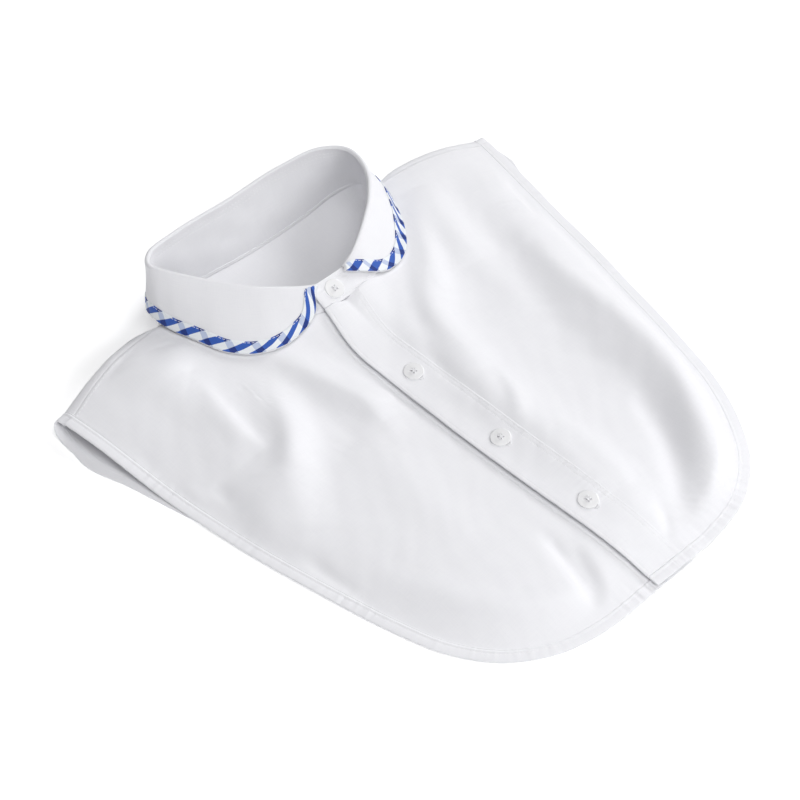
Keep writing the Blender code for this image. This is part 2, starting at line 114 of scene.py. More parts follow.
Section = namedtuple("Section", "seam fold edge")
NECK = (
    Section(seam=(-9, -57, 30.0), fold=(-9, -41, 37.5), edge=(-11, -43, 36.0)),
    Section(seam=(-21, -55, 29.4), fold=(-16, -38.5, 39.5), edge=(-20, -54.5, 32.0)),
    Section(seam=(-36, -49, 28.2), fold=(-26, -32.5, 42.0), edge=(-38.5, -59, 26.8)),
    Section(seam=(-54, -38, 26.4), fold=(-39, -22.5, 44.2), edge=(-58.5, -56, 24.4)),
    Section(seam=(-70, -22, 24.4), fold=(-52, -8, 46.2), edge=(-76, -39, 23.4)),
    Section(seam=(-82, -4, 22.2), fold=(-62.5, 7, 47.6), edge=(-83.5, -19, 23.0)),
    Section(seam=(-86, 11, 19.6), fold=(-70.5, 20.5, 48.4), edge=(-88, 1, 23.2)),
    Section(seam=(-82, 24, 15.0), fold=(-75, 32.5, 48.2), edge=(-88.5, 19.5, 22.4)),
    Section(seam=(-70, 33.5, 10.0), fold=(-68, 42, 47.2), edge=(-77, 38, 13.0)),
    Section(seam=(-45, 35.5, 6.0), fold=(-44, 47.5, 44.4), edge=(-49, 51, 5.0)),
    Section(seam=(2, 33, 4.2), fold=(2, 49.5, 41.6), edge=(2, 57, 2.6)),
    Section(seam=(49, 32.5, 5.8), fold=(46, 49, 42.8), edge=(51, 52.5, 5.0)),
    Section(seam=(76, 32, 10.0), fold=(71.5, 42, 45.6), edge=(79.5, 40.5, 13.0)),
    Section(seam=(89.5, 25, 15.0), fold=(81.5, 29.5, 47.2), edge=(93, 23, 22.5)),
    Section(seam=(90, 12, 19.6), fold=(81, 17, 48.2), edge=(92.5, 2.5, 23.0)),
    Section(seam=(84.5, -4, 22.2), fold=(75, 2.5, 47.8), edge=(84.5, -16.5, 22.6)),
    Section(seam=(75, -22, 24.4), fold=(61.5, -13, 46.8), edge=(73.4, -36, 22.8)),
    Section(seam=(59, -38, 26.4), fold=(47, -24, 44.4), edge=(58.5, -51.5, 23.6)),
    Section(seam=(41, -49, 28.2), fold=(33, -33, 42.2), edge=(42, -56, 25.0)),
    Section(seam=(26, -55, 29.4), fold=(22, -38.5, 40.0), edge=(24.5, -49.5, 30.5)),
    Section(seam=(14, -57, 30.0), fold=(14, -41, 38.0), edge=(12.4, -43.4, 34.6)),
)
SIDE_NECK = {-1: 6, +1: 14}
RING_SECTIONS = 321
SHOULDER_COLUMNS = 50
SHOULDER_BOW = 3.0

Edge = namedtuple("Edge", "x y")
FRONT_EDGE = {
    -1: (
        Edge(-170, -4), Edge(-167, -28), Edge(-164, -56), Edge(-159, -100), Edge(-152, -150),
        Edge(-141, -205), Edge(-131, -246), Edge(-121, -275), Edge(-103, -300), Edge(-78, -316),
        Edge(-48, -322), Edge(-15, -322), Edge(21.5, -321),
    ),
    +1: (
        Edge(176, 0), Edge(172, -28), Edge(168, -60), Edge(163, -100), Edge(153, -150), Edge(142, -200),
        Edge(130, -243), Edge(116, -272), Edge(98, -296), Edge(74, -312), Edge(44, -319),
        Edge(15, -321), Edge(-7.5, -321),
    ),
}
CORNER = 7
BACK_EDGE = {
    -1: (
        Edge(-177, -30), Edge(-169, -60), Edge(-159.5, -100), Edge(-147, -150), Edge(-136.5, -205),
        Edge(-126, -246), Edge(-115, -273), Edge(-97, -296), Edge(-74, -310), Edge(-46, -317),
        Edge(-15, -318),
    ),
    +1: (
        Edge(176, -32), Edge(168, -60), Edge(160, -100), Edge(150, -150), Edge(139, -200),
        Edge(126, -243), Edge(112, -271), Edge(95, -293), Edge(71, -308), Edge(43, -315), Edge(15, -317),
    ),
}
Curl = namedtuple("Curl", "leaves turns aims")
SHOULDER_CURL = Curl(leaves=-16.0, turns=11.5, aims=1.0)
NECK_CURL = Curl(leaves=-25.0, turns=-14.0, aims=0.35)
NECK_AIM = -6.0
TIP_SPREAD = 0.035
NECK_HALF = 88.0
TIP_FROM_NECK = 85.0


def curve_through(places, count):
    """Evenly spaced points on a smooth curve through the places."""
    places = np.array(places, float)
    steps = np.linalg.norm(np.diff(places, axis=0), axis=1)
    along = np.concatenate([[0.0], np.cumsum(steps)])
    slopes = np.gradient(places, along, axis=0)
    fine = np.linspace(0.0, along[-1], max(40 * len(places), 4 * count))
    cell = np.clip(np.searchsorted(along, fine, side="right") - 1, 0, len(steps) - 1)
    part = ((fine - along[cell]) / steps[cell])[:, None]
    span = steps[cell][:, None]
    curve = (
        (2 * part**3 - 3 * part**2 + 1) * places[cell]
        + (part**3 - 2 * part**2 + part) * span * slopes[cell]
        + (3 * part**2 - 2 * part**3) * places[cell + 1]
        + (part**3 - part**2) * span * slopes[cell + 1]
    )
    length = lengths_along(curve)
    wanted = np.linspace(0.0, length[-1], count)
    return np.stack([np.interp(wanted, length, column) for column in curve.T], axis=1)


def lengths_along(line):
    return np.concatenate([[0.0], np.cumsum(np.linalg.norm(np.diff(line, axis=0), axis=1))])


def nearest(x, y, line):
    """How far each place is from a line in plan, and which point of the line is nearest."""
    x, y = np.asarray(x, float), np.asarray(y, float)
    away, place = np.empty(x.shape), np.empty(x.shape, int)
    for row in np.ndindex(x.shape[:1]):
        spread = np.hypot(x[row][..., None] - line[:, 0], y[row][..., None] - line[:, 1])
        away[row], place[row] = spread.min(axis=-1), spread.argmin(axis=-1)
    return away, place


def eased(value):
    """A smooth step from 0 to 1."""
    value = np.clip(value, 0.0, 1.0)
    return value * value * (3 - 2 * value)


def unit(vectors):
    return vectors / np.maximum(np.linalg.norm(vectors, axis=-1, keepdims=True), 1e-9)


def normals_of(grid):
    return unit(np.cross(np.gradient(grid, axis=0), np.gradient(grid, axis=1)))


def bezier(start, first, second, end, part):
    rest = 1 - part
    return rest**3 * start + 3 * rest**2 * part * first + 3 * rest * part**2 * second + part**3 * end


def coons_patch(top, bottom, start, end):
    """Points inside four plan curves. Top and bottom run from start to end."""
    u = np.linspace(0, 1, len(top))[None, :, None]
    v = np.linspace(0, 1, len(start))[:, None, None]
    across = (1 - v) * top[None] + v * bottom[None]
    down = (1 - u) * start[:, None] + u * end[:, None]
    corners = (
        (1 - u) * (1 - v) * top[0] + u * (1 - v) * top[-1] + (1 - u) * v * bottom[0] + u * v * bottom[-1]
    )
    return across + down - corners


def ring_frames(count=RING_SECTIONS):
    """Evenly spaced sections round the neck, each with its directions up the stand and out."""
    parts = [np.array([getattr(section, part) for section in NECK], float) for part in Section._fields]
    both = curve_through(np.concatenate(parts, axis=1), count)
    seam, fold, edge = both[:, :3], both[:, 3:6], both[:, 6:]
    up = unit(fold - seam)
    out = unit(np.cross(up, np.gradient(fold, axis=0)))
    return seam, fold, edge, up, out


def side_neck(side):
    """Which ring section meets the shoulder seam."""
    seam = ring_frames()[0]
    place = NECK[SIDE_NECK[side]].seam
    return int(np.hypot(seam[:, 0] - place[0], seam[:, 1] - place[1]).argmin())


def shoulder_line(side, neck_side):
    """The shoulder seam in plan, bowed a little towards the back, from beside the neck to the tip."""
    line = np.linspace(neck_side, FRONT_EDGE[side][0], SHOULDER_COLUMNS + 1)
    line[:, 1] += SHOULDER_BOW * np.sin(np.linspace(0, math.pi, len(line)))
    return line[1:]


# How the fronts lie over the back: they puff up from their edges, and rise to the neck seam.
PUFF_HEIGHT = 11.0
PUFF_REACH = 26.0
PUFF_POWER = 1.3
NECK_REACH = 34.0
NECK_POWER = 1.15
EDGE_HEIGHT = 2.3
TIP_RISE = 8.0
TIP_REACH = 105.0
FOLD_FADE = 14.0
FOLD_STRENGTH = 1.15

# The folds and creases, one row for each: the line of its crest, its half width and its height.
# A negative height is a trough.
Fold = namedtuple("Fold", "crest half_width height")
FOLDS = (
    Fold(((61, -62), (41, -81), (28, -114), (24, -150), (24, -210), (23, -275)), 18.5, 6.6),
    Fold(((154, -48), (146, -90), (131, -151), (121, -197), (114, -233), (96, -276), (74, -303), (50, -322)), 20.0, 7.2),
    Fold(((104, -7), (100, -33), (87, -82)), 14.8, 5.6),
    Fold(((-111, -30), (-114, -66), (-116, -106)), 15.1, 3.3),
    Fold(((-79, -61), (-87, -99), (-107, -134), (-132, -166)), 15.3, 5.0),
    Fold(((-37, -72), (-30, -96), (-28, -130)), 9.5, 2.2),
    Fold(((-55, -145), (-65, -196), (-63, -240)), 16.5, 1.7),
    Fold(((79, -34), (56, -68), (39, -100), (33, -127), (29, -156)), 10.4, 5.2),
    Fold(((59, -43), (38, -76), (19, -108), (12, -137), (11, -162)), 5.6, -1.4),
    Fold(((35, -72), (21, -99), (15, -116)), 6.9, 2.2),
    Fold(((34, -163), (29, -178), (20, -192)), 5.2, 2.0),
    Fold(((133, -89), (124, -128), (123, -154), (122, -193), (113, -231), (97, -265), (76, -300), (50, -324)), 10.5, 4.8),
    Fold(((145, -42), (131, -80), (116, -124), (108, -168), (106, -207), (99, -239), (86, -272), (66, -302)), 15.5, 4.0),
    Fold(((90, -222), (76, -256), (56, -286), (36, -306)), 9.0, -3.2),
    Fold(((97, -16), (82, -40), (68, -64), (54, -90)), 8.0, 6.0),
    Fold(((115, -9), (102, -37), (99, -68), (90, -113), (80, -138)), 13.9, 3.0),
    Fold(((131, -14), (117, -46), (113, -87)), 12.1, -1.7),
    Fold(((31, -211), (33, -243), (30, -277)), 6.8, 2.0),
    Fold(((34, -289), (28, -301), (20, -311)), 4.2, -1.8),
    Fold(((165, -39), (162, -56), (157, -74)), 3.8, -2.6),
    Fold(((-62, -44), (-53, -68), (-46, -97), (-39, -123), (-40, -140)), 8.7, 6.2),
    Fold(((-44, -44), (-34, -70), (-28, -99), (-22, -124), (-21, -145)), 4.9, -1.5),
    Fold(((-61, -118), (-62, -132), (-74, -135)), 8.4, -1.0),
    Fold(((-104, -47), (-107, -75), (-109, -101)), 4.2, 1.8),
    Fold(((-110, -55), (-112, -73), (-114, -96)), 5.2, 1.5),
    Fold(((-76, -82), (-87, -108), (-108, -128)), 8.3, 2.5),
    Fold(((-58, -84), (-71, -112), (-100, -142), (-124, -165)), 15.6, -2.2),
    Fold(((-120, -112), (-134, -136), (-154, -151)), 13.9, 2.3),
    Fold(((-143, -99), (-143, -117)), 5.1, -0.9),
    Fold(((-141, -177), (-141, -206), (-139, -233)), 6.0, -4.2),
    Fold(((-114, -230), (-99, -262), (-82, -285), (-56, -300), (-30, -304)), 10.0, 2.2),
    Fold(((-27, -278), (-33, -299), (-43, -318)), 5.0, -2.6),
    Fold(((-33, -265), (-39, -296), (-47, -315)), 4.8, -3.4),
    Fold(((-125, 3), (-120, -18), (-105, -37)), 13.9, 4.4),
    Fold(((-97, -7), (-106, -32)), 13.9, 4.6),
    Fold(((-160, -52), (-165, -69)), 4.2, -2.0),
    Fold(((-156, -87), (-157, -107)), 4.2, 1.6),
)

# The bound edges pucker a little, and most where the hem turns its corners. One row for each
# stretch: its middle along the edge from the shoulder as a share of the whole, its half length
# and the puckers' height.
Pucker = namedtuple("Pucker", "middle reach height")
PUCKERS = {
    -1: (
        Pucker(0.16, 0.06, 0.10), Pucker(0.33, 0.08, 0.07), Pucker(0.50, 0.05, 0.12),
        Pucker(0.72, 0.07, 0.10), Pucker(0.93, 0.05, 0.34),
    ),
    +1: (
        Pucker(0.10, 0.06, 0.08), Pucker(0.30, 0.08, 0.10), Pucker(0.55, 0.07, 0.06),
        Pucker(0.80, 0.05, 0.30), Pucker(0.92, 0.04, 0.16),
    ),
}
PUCKER_REACH = 7.0

# The faint ripples that ironed cloth keeps: their height and the lengths of three crossing waves.
RIPPLE = 0.13
RIPPLE_LENGTHS = (23.0, 31.0, 17.0)

SEAM_LINE = curve_through([section.seam for section in NECK], 241)
FRONT_LINE = {side: curve_through(FRONT_EDGE[side], 600) for side in FRONT_EDGE}
EDGE_LINE = np.concatenate([FRONT_LINE[-1], FRONT_LINE[+1]])


def edge_puckers():
    """How high the cloth puckers beside each point of the bound edges."""
    heights = []
    for side, seed in ((-1, 0.4), (+1, 2.1)):
        along = lengths_along(FRONT_LINE[side])
        wave = np.sin(along / 1.02 + seed) + 0.7 * np.sin(along / 1.71 + 3 * seed) + 0.5 * np.sin(along / 0.63)
        size = np.full(len(along), 0.03)
        for pucker in PUCKERS[side]:
            size += pucker.height * np.exp(-(((along / along[-1] - pucker.middle) / pucker.reach) ** 2))
        heights.append(wave * size / 1.6)
    return np.concatenate(heights)


EDGE_PUCKERS = edge_puckers()
CREST_LINES = [curve_through(fold.crest, 60) for fold in FOLDS]


def faint_ripples(x, y):
    """Three waves that bend and cross, so that no two ripples are alike."""
    bent = x + 9.0 * np.sin(y / 21.0) + 4.0 * np.sin(y / 9.5 + 1.0)
    slanted = y - 0.6 * x + 8.0 * np.sin(x / 17.0 + 0.7)
    long_wave, cross_wave, short_wave = (2 * math.pi / length for length in RIPPLE_LENGTHS)
    drags = np.sin(long_wave * bent + 0.8) * np.sin(cross_wave * slanted + 0.4 * np.sin(bent / 13.0))
    return RIPPLE * (drags + 0.45 * np.sin(short_wave * (bent + 0.5 * slanted)))


def front_height(x, y):
    """The mid-height of the fronts' cloth over the table."""
    inwards, place = nearest(x, y, EDGE_LINE)
    edge_height = EDGE_HEIGHT + TIP_RISE * eased((EDGE_LINE[place, 1] + TIP_REACH) / TIP_REACH)
    puffed = edge_height + PUFF_HEIGHT * (1 - np.exp(-((inwards / PUFF_REACH) ** PUFF_POWER)))
    for fold, crest in zip(FOLDS, CREST_LINES):
        aside, spot = nearest(x, y, crest)
        ends = np.sqrt(np.sin(math.pi * np.clip(spot / (len(crest) - 1), 0.02, 0.98)))
        near_edge = eased(inwards / FOLD_FADE)
        puffed = puffed + near_edge * ends * FOLD_STRENGTH * fold.height * np.exp(-((aside / fold.half_width) ** 2))
    puffed = puffed + faint_ripples(x, y) * eased(inwards / FOLD_FADE)
    puffed = puffed + EDGE_PUCKERS[place] * np.exp(-((inwards / PUCKER_REACH) ** 1.5))
    from_neck, spot = nearest(x, y, SEAM_LINE)
    risen = np.exp(-((from_neck / NECK_REACH) ** NECK_POWER))
    return puffed + (SEAM_LINE[spot, 2] - puffed) * risen


SEAM_ALLOWANCE = 2.5


def back_grid(flat_rows=70, curl_rows=30):
    """The back panel, flat on the table, turned up to the neck seam and over the shoulders."""
    seam = ring_frames()[0][side_neck(-1): side_neck(+1) + 1: 2]
    for side in (-1, +1):
        x, y = shoulder_line(side, seam[0 if side < 0 else -1, :2]).T
        shoulder = np.stack([x, y, front_height(x, y)], axis=1)
        seam = np.concatenate([shoulder[::-1], seam] if side < 0 else [seam, shoulder])
    length = lengths_along(seam)
    from_tip = np.minimum(length, length[-1] - length)
    over = eased((from_tip[SHOULDER_COLUMNS] + 32 - from_tip) / 58)
    leaves, turns, aims = [over * tip + (1 - over) * neck for tip, neck in zip(SHOULDER_CURL, NECK_CURL)]
    across, forward, height = seam.T
    low = np.full(len(seam), CLOTH / 2)
    spread = across * (1 + TIP_SPREAD * eased((np.abs(across) - NECK_HALF) / TIP_FROM_NECK))
    base = np.stack([spread, forward + leaves, low], axis=1)
    first = np.stack([spread, forward + turns, low], axis=1)
    aim = forward + over * SHOULDER_CURL.turns + (1 - over) * NECK_AIM
    second = np.stack([across, aim, height * aims], axis=1)
    curl = [bezier(base, first, second, seam, part) for part in np.linspace(0, 1, curl_rows + 1)[1:]]
    sides, hem = [], []
    for side, start in ((-1, base[0]), (+1, base[-1])):
        edge = curve_through([start[:2], *BACK_EDGE[side]], 600)
        place = BACK_EDGE[side][CORNER - 1]
        corner = np.hypot(edge[:, 0] - place.x, edge[:, 1] - place.y).argmin()
        sides.append(curve_through(edge[: corner + 1], flat_rows))
        hem.append(edge[corner:])
    bottom = curve_through(np.concatenate([hem[0], hem[1][::-1]]), len(seam))
    plan = coons_patch(base[:, :2], bottom, *sides)
    flat = np.dstack([plan, np.full(plan.shape[:2], CLOTH / 2)])
    tucked = seam + [0.0, 0.0, SEAM_ALLOWANCE]
    for end in (slice(None, SHOULDER_COLUMNS), slice(-SHOULDER_COLUMNS, None)):
        x, y = seam[end, 0], seam[end, 1] - SEAM_ALLOWANCE
        tucked[end] = np.stack([x, y, front_height(x, y) - CLOTH * 1.6], axis=1)
    return np.concatenate([flat[::-1], np.array(curl), tucked[None]], axis=0)


def weave_group():
    """A plain weave: threads over and under each other, with uneven slubs, on a map in metres."""
    group = bpy.data.node_groups.new("plain_weave", "ShaderNodeTree")
    group.interface.new_socket("Grain", in_out="INPUT", socket_type="NodeSocketVector")
    group.interface.new_socket("Thread", in_out="INPUT", socket_type="NodeSocketFloat")
    group.interface.new_socket("Height", in_out="OUTPUT", socket_type="NodeSocketFloat")
    group.interface.new_socket("Slub", in_out="OUTPUT", socket_type="NodeSocketFloat")
    nodes, links = group.nodes, group.links
    given, made = nodes.new("NodeGroupInput"), nodes.new("NodeGroupOutput")
    scale = nodes.new("ShaderNodeMath")
    scale.operation = "DIVIDE"
    scale.inputs[0].default_value = math.pi
    links.new(given.outputs["Thread"], scale.inputs[1])
    turned = nodes.new("ShaderNodeVectorMath")
    turned.operation = "SCALE"
    links.new(given.outputs["Grain"], turned.inputs[0])
    links.new(scale.outputs[0], turned.inputs["Scale"])
    waves = nodes.new("ShaderNodeVectorMath")
    waves.operation = "SINE"
    links.new(turned.outputs[0], waves.inputs[0])
    parts = nodes.new("ShaderNodeSeparateXYZ")
    links.new(waves.outputs[0], parts.inputs[0])
    over = nodes.new("ShaderNodeMath")
    over.operation = "MULTIPLY"
    links.new(parts.outputs["X"], over.inputs[0])
    links.new(parts.outputs["Y"], over.inputs[1])
    slubs = []
    for stretch in ((90, 1400, 1), (1400, 90, 1)):
        stretched = nodes.new("ShaderNodeVectorMath")
        stretched.operation = "MULTIPLY"
        stretched.inputs[1].default_value = stretch
        links.new(given.outputs["Grain"], stretched.inputs[0])
        noise = nodes.new("ShaderNodeTexNoise")
        noise.inputs["Scale"].default_value = 1.0
        noise.inputs["Detail"].default_value = 2.0
        links.new(stretched.outputs[0], noise.inputs["Vector"])
        slubs.append(noise)
    uneven = nodes.new("ShaderNodeMath")
    uneven.operation = "ADD"
    links.new(slubs[0].outputs["Fac"], uneven.inputs[0])
    links.new(slubs[1].outputs["Fac"], uneven.inputs[1])
    height = nodes.new("ShaderNodeMath")
    height.operation = "ADD"
    links.new(over.outputs[0], height.inputs[0])
    links.new(uneven.outputs[0], height.inputs[1])
    links.new(height.outputs[0], made.inputs["Height"])
    links.new(uneven.outputs[0], made.inputs["Slub"])
    return group


PLAIN_WEAVE = weave_group()
THREAD = 0.00032


def shirting(name, light_tone, dark_tone):
    """Smooth white poly-cotton: a fine plain weave with a faint sheen."""
    material = bpy.data.materials.new(name)
    material.use_nodes = True
    nodes, links = material.node_tree.nodes, material.node_tree.links
    shader = nodes["Principled BSDF"]
    shader.inputs["Roughness"].default_value = 0.82
    shader.inputs["Sheen Weight"].default_value = 0.12
    shader.inputs["Sheen Roughness"].default_value = 0.5
    shader.inputs["Specular IOR Level"].default_value = 0.3
    grain = nodes.new("ShaderNodeUVMap")
    grain.uv_map = "grain"
    weave = nodes.new("ShaderNodeGroup")
    weave.node_tree = PLAIN_WEAVE
    weave.inputs["Thread"].default_value = THREAD
    links.new(grain.outputs["UV"], weave.inputs["Grain"])
    tone = nodes.new("ShaderNodeMapRange")
    tone.inputs["From Min"].default_value = 0.7
    tone.inputs["From Max"].default_value = 1.3
    links.new(weave.outputs["Slub"], tone.inputs["Value"])
    colour = nodes.new("ShaderNodeMix")
    colour.data_type = "RGBA"
    colour.inputs["A"].default_value = (*dark_tone, 1)
    colour.inputs["B"].default_value = (*light_tone, 1)
    links.new(tone.outputs["Result"], colour.inputs["Factor"])
    links.new(colour.outputs["Result"], shader.inputs["Base Color"])
    bump = nodes.new("ShaderNodeBump")
    bump.inputs["Distance"].default_value = 0.00003
    bump.inputs["Strength"].default_value = 0.6
    links.new(weave.outputs["Height"], bump.inputs["Height"])
    links.new(bump.outputs["Normal"], shader.inputs["Normal"])
    return material


WHITE_SHIRTING = shirting("white_shirting", (0.86, 0.86, 0.885), (0.835, 0.835, 0.865))


def cloth_sheet(name, middle, thickness, material, grain=None):
    """A closed shell of cloth about a grid of points, with a rounded rim and a UV map in metres."""
    rows, columns = middle.shape[:2]
    count = rows * columns
    normal = normals_of(middle)
    half = np.broadcast_to(thickness, middle.shape[:2])[..., None] / 2
    ends = np.zeros_like(middle)
    ends[0] += unit(middle[0] - middle[1])
    ends[-1] += unit(middle[-1] - middle[-2])
    ends[:, 0] += unit(middle[:, 0] - middle[:, 1])
    ends[:, -1] += unit(middle[:, -1] - middle[:, -2])
    index = np.arange(count).reshape(rows, columns)
    rim = np.concatenate([index[0], index[1:, -1], index[-1, -2::-1], index[-2:0:-1, 0]])
    flat_middle = middle.reshape(-1, 3)
    round_rim = flat_middle[rim] + unit(ends.reshape(-1, 3)[rim]) * half.reshape(-1, 1)[rim] * 0.9
    points = np.concatenate([
        (middle + normal * half).reshape(-1, 3),
        (middle - normal * half).reshape(-1, 3),
        round_rim,
    ])
    quads = np.stack([index[:-1, :-1], index[1:, :-1], index[1:, 1:], index[:-1, 1:]], axis=-1).reshape(-1, 4)
    turn = 2 * count + np.arange(len(rim))
    following, next_rim = np.roll(turn, -1), np.roll(rim, -1)
    faces = np.concatenate([
        quads,
        quads[:, ::-1] + count,
        np.stack([rim, next_rim, following, turn], axis=-1),
        np.stack([turn, following, next_rim + count, rim + count], axis=-1),
    ])
    corners = points[faces]
    volume = sum(
        (corners[:, 0] * np.cross(corners[:, k], corners[:, k + 1])).sum() for k in (1, 2)
    )
    if volume < 0:
        faces = faces[:, ::-1]
    mesh = bpy.data.meshes.new(name)
    mesh.from_pydata(((points + SEAT) * 0.001).tolist(), [], faces.tolist())
    grain = middle[..., :2] if grain is None else grain
    flat_grain = grain.reshape(-1, 2)
    every_grain = np.concatenate([flat_grain, flat_grain, flat_grain[rim]]) * 0.001
    layer = mesh.uv_layers.new(name="grain")
    layer.data.foreach_set("uv", every_grain[faces.reshape(-1)].astype(np.float32).reshape(-1))
    mesh.materials.append(material)
    mesh.shade_smooth()
    sheet = bpy.data.objects.new(name, mesh)
    bpy.context.collection.objects.link(sheet)
    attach(sheet, "root")
    return sheet


back_middle = back_grid()
back_panel = cloth_sheet("back_cloth", back_middle, CLOTH, WHITE_SHIRTING)
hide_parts("back_panel")


# The two fronts
# Each front is one piece of the same shirting, seamed to the back at its shoulder. The
# wearer's left one laps over the right one and is buttoned to it.
PLACKET_WIDTH = 29.0
LAP_LIFT = 2.1
LAP_REACH = 34.0
LAP_FADE = 18.0
LAP_COLUMNS = 19
FRONT_ROWS = 170
NECK_FRONT_Y = -57.5
HEM_Y = -321.0
Middle = namedtuple("Middle", "y x")
CENTRE_FRONT = (
    Middle(-57, 0.5), Middle(-88, -4), Middle(-125, -2.5),
    Middle(-195, -1.5), Middle(-262, 1.5), Middle(-322, 7),
)
MIDDLE_LINE = curve_through([(row.x, row.y) for row in CENTRE_FRONT], 400)


def middle_x(y):
    """The placket's middle at a place down the front."""
    return np.interp(-np.asarray(y), -MIDDLE_LINE[:, 1], MIDDLE_LINE[:, 0])


def steepness(x, y, step=1.5):
    """How much longer a lift must be straight up than square to the front's slope."""
    slope_x = (front_height(x + step, y) - front_height(x - step, y)) / (2 * step)
    slope_y = (front_height(x, y + step) - front_height(x, y - step)) / (2 * step)
    return np.sqrt(1 + slope_x**2 + slope_y**2)


def over_height(x, y, lift=0.0):
    """The wearer's left front, which laps over the right one at the placket, or a layer on it."""
    lap = eased((middle_x(y) + LAP_REACH - x) / LAP_FADE)
    return front_height(x, y) + (LAP_LIFT * lap + lift) * steepness(x, y)


def under_height(x, y, lift=0.0):
    return front_height(x, y) + lift * steepness(x, y)


def rows_down(count=FRONT_ROWS):
    """Places down the centre front, closer together near the neck."""
    top = NECK_FRONT_Y + GAP
    return top + (HEM_Y - top) * np.linspace(0, 1, count) ** 1.15


def lap_plan(side, columns=LAP_COLUMNS):
    """The placket's plan, in columns from the free edge of the wearer's left (+1) or right (-1) front."""
    across = np.linspace(-side * PLACKET_WIDTH / 2, side * PLACKET_WIDTH / 2, columns)
    x = middle_x(rows_down())[:, None] + across
    return np.dstack([x, np.repeat(rows_down()[:, None], columns, axis=1)])


def front_plan(side):
    """One front panel's plan, from under or over the placket out to its binding."""
    lap = lap_plan(side)
    ring = ring_frames(161)[0][:, :2]
    reach = NECK[SIDE_NECK[side]].seam
    beside = int(np.hypot(ring[:, 0] - reach[0], ring[:, 1] - reach[1]).argmin())
    neck = ring[: beside + 1] if side < 0 else ring[beside:][::-1]
    start = lap[:, -1]
    neck = neck[side * (neck[:, 0] - start[0, 0]) > 0.8]
    shoulder = shoulder_line(side, neck[-1]) - [0, 0.1]
    top = np.concatenate([start[:1], neck, shoulder])
    edge = FRONT_LINE[side]
    place = FRONT_EDGE[side][CORNER]
    corner = np.hypot(edge[:, 0] - place.x, edge[:, 1] - place.y).argmin()
    end = curve_through([top[-1], *edge[1: corner + 1]], FRONT_ROWS)
    hem = edge[corner:][::-1]
    beside_lap = side * (hem[:, 0] - start[-1, 0]) > 1
    bottom = curve_through([start[-1], *hem[beside_lap]], len(top))
    return np.concatenate([lap[:, :-1], coons_patch(top, bottom, start, end)], axis=1)


fronts = {}
for side, name, node in ((-1, "right_front_cloth", "front_right"), (+1, "left_front_cloth", "front_left")):
    plan = front_plan(side)
    height = over_height if side > 0 else under_height
    fronts[side] = np.dstack([plan, height(plan[..., 0], plan[..., 1])])
    front = cloth_sheet(name, fronts[side], CLOTH, WHITE_SHIRTING)
    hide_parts(node)


# The placket
# A folded band of the same shirting on the left front. Its free edge is a rounded fold, and two
# rows of stitches hold its other edge, with one more row beside the fold.
PLACKET_LIFT = 0.62
PLACKET_FOLD = 0.8
PLACKET_FLAT = 0.5
PLACKET_RIGHT = 12.6
STITCH_GROOVE = 0.09
PLACKET_ROWS_OF_STITCHES = (-12.4, 9.2, 11.6)


def ripple(along, seed=0.0):
    """An uneven wave of about unit height along a line."""
    return 0.6 * np.sin(along / 1.13 + seed) + 0.4 * np.sin(along / 0.71 + 2.3 * seed) * np.sin(along / 9.0 + seed)


def band_places(low, high, lines, count=20):
    """Places across a band, closer together beside each row of stitches."""
    near = [line + step for line in lines for step in (-1.0, -0.6, -0.3, 0.0, 0.3, 0.6, 1.0)]
    return np.unique(np.concatenate([np.linspace(low, high, count), near]))


def grooves(across, lines, depth=STITCH_GROOVE):
    """How far the cloth is drawn in beside its rows of stitches."""
    return -depth * sum(np.exp(-(((across - line) / 0.45) ** 2)) for line in lines)


placket_across = band_places(-PLACKET_WIDTH / 2 - 0.25, PLACKET_RIGHT, PLACKET_ROWS_OF_STITCHES)
placket_y = np.linspace(rows_down()[0], HEM_Y + 0.2, 330)
placket_x = middle_x(placket_y)[:, None] + placket_across
placket_plan_y = np.repeat(placket_y[:, None], len(placket_across), axis=1)
drawn = grooves(placket_across, PLACKET_ROWS_OF_STITCHES)
beside = np.exp(-(((placket_across[None] - 10.4) / 2.6) ** 2)) + np.exp(-(((placket_across[None] + 12.6) / 2.0) ** 2))
wavy = 0.10 * ripple(placket_y)[:, None] * beside
placket_lift = PLACKET_LIFT - 0.25 * eased((placket_across - 5) / 7) + drawn + wavy
placket_lift = placket_lift * (0.4 + 0.6 * eased((placket_y[0] - placket_y) / 7.0)[:, None])
placket_middle = np.dstack([placket_x, placket_plan_y, over_height(placket_x, placket_plan_y, placket_lift)])
placket_thick = PLACKET_FOLD + (PLACKET_FLAT - PLACKET_FOLD) * eased((placket_across + 12) / 12)
placket = cloth_sheet("placket_cloth", placket_middle, placket_thick, WHITE_SHIRTING)
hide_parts("placket")


# The bindings
# Bias strips fold over the raw armhole and hem edges. Each starts at a sunk seam with a raised
# edge beside it, is stitched down 2 mm from there, and ends in a thin rounded lip.
BINDING_WIDTH = 7.2
BINDING_SLOPE = 0.05
BINDING_STITCHES = 2.3
BINDING_THICK = 0.8


def beyond(edge, side):
    """Plan directions that point out of a panel's edge."""
    along = unit(np.gradient(edge, axis=0))
    return np.stack([along[:, 1], -along[:, 0]], axis=1) * -side


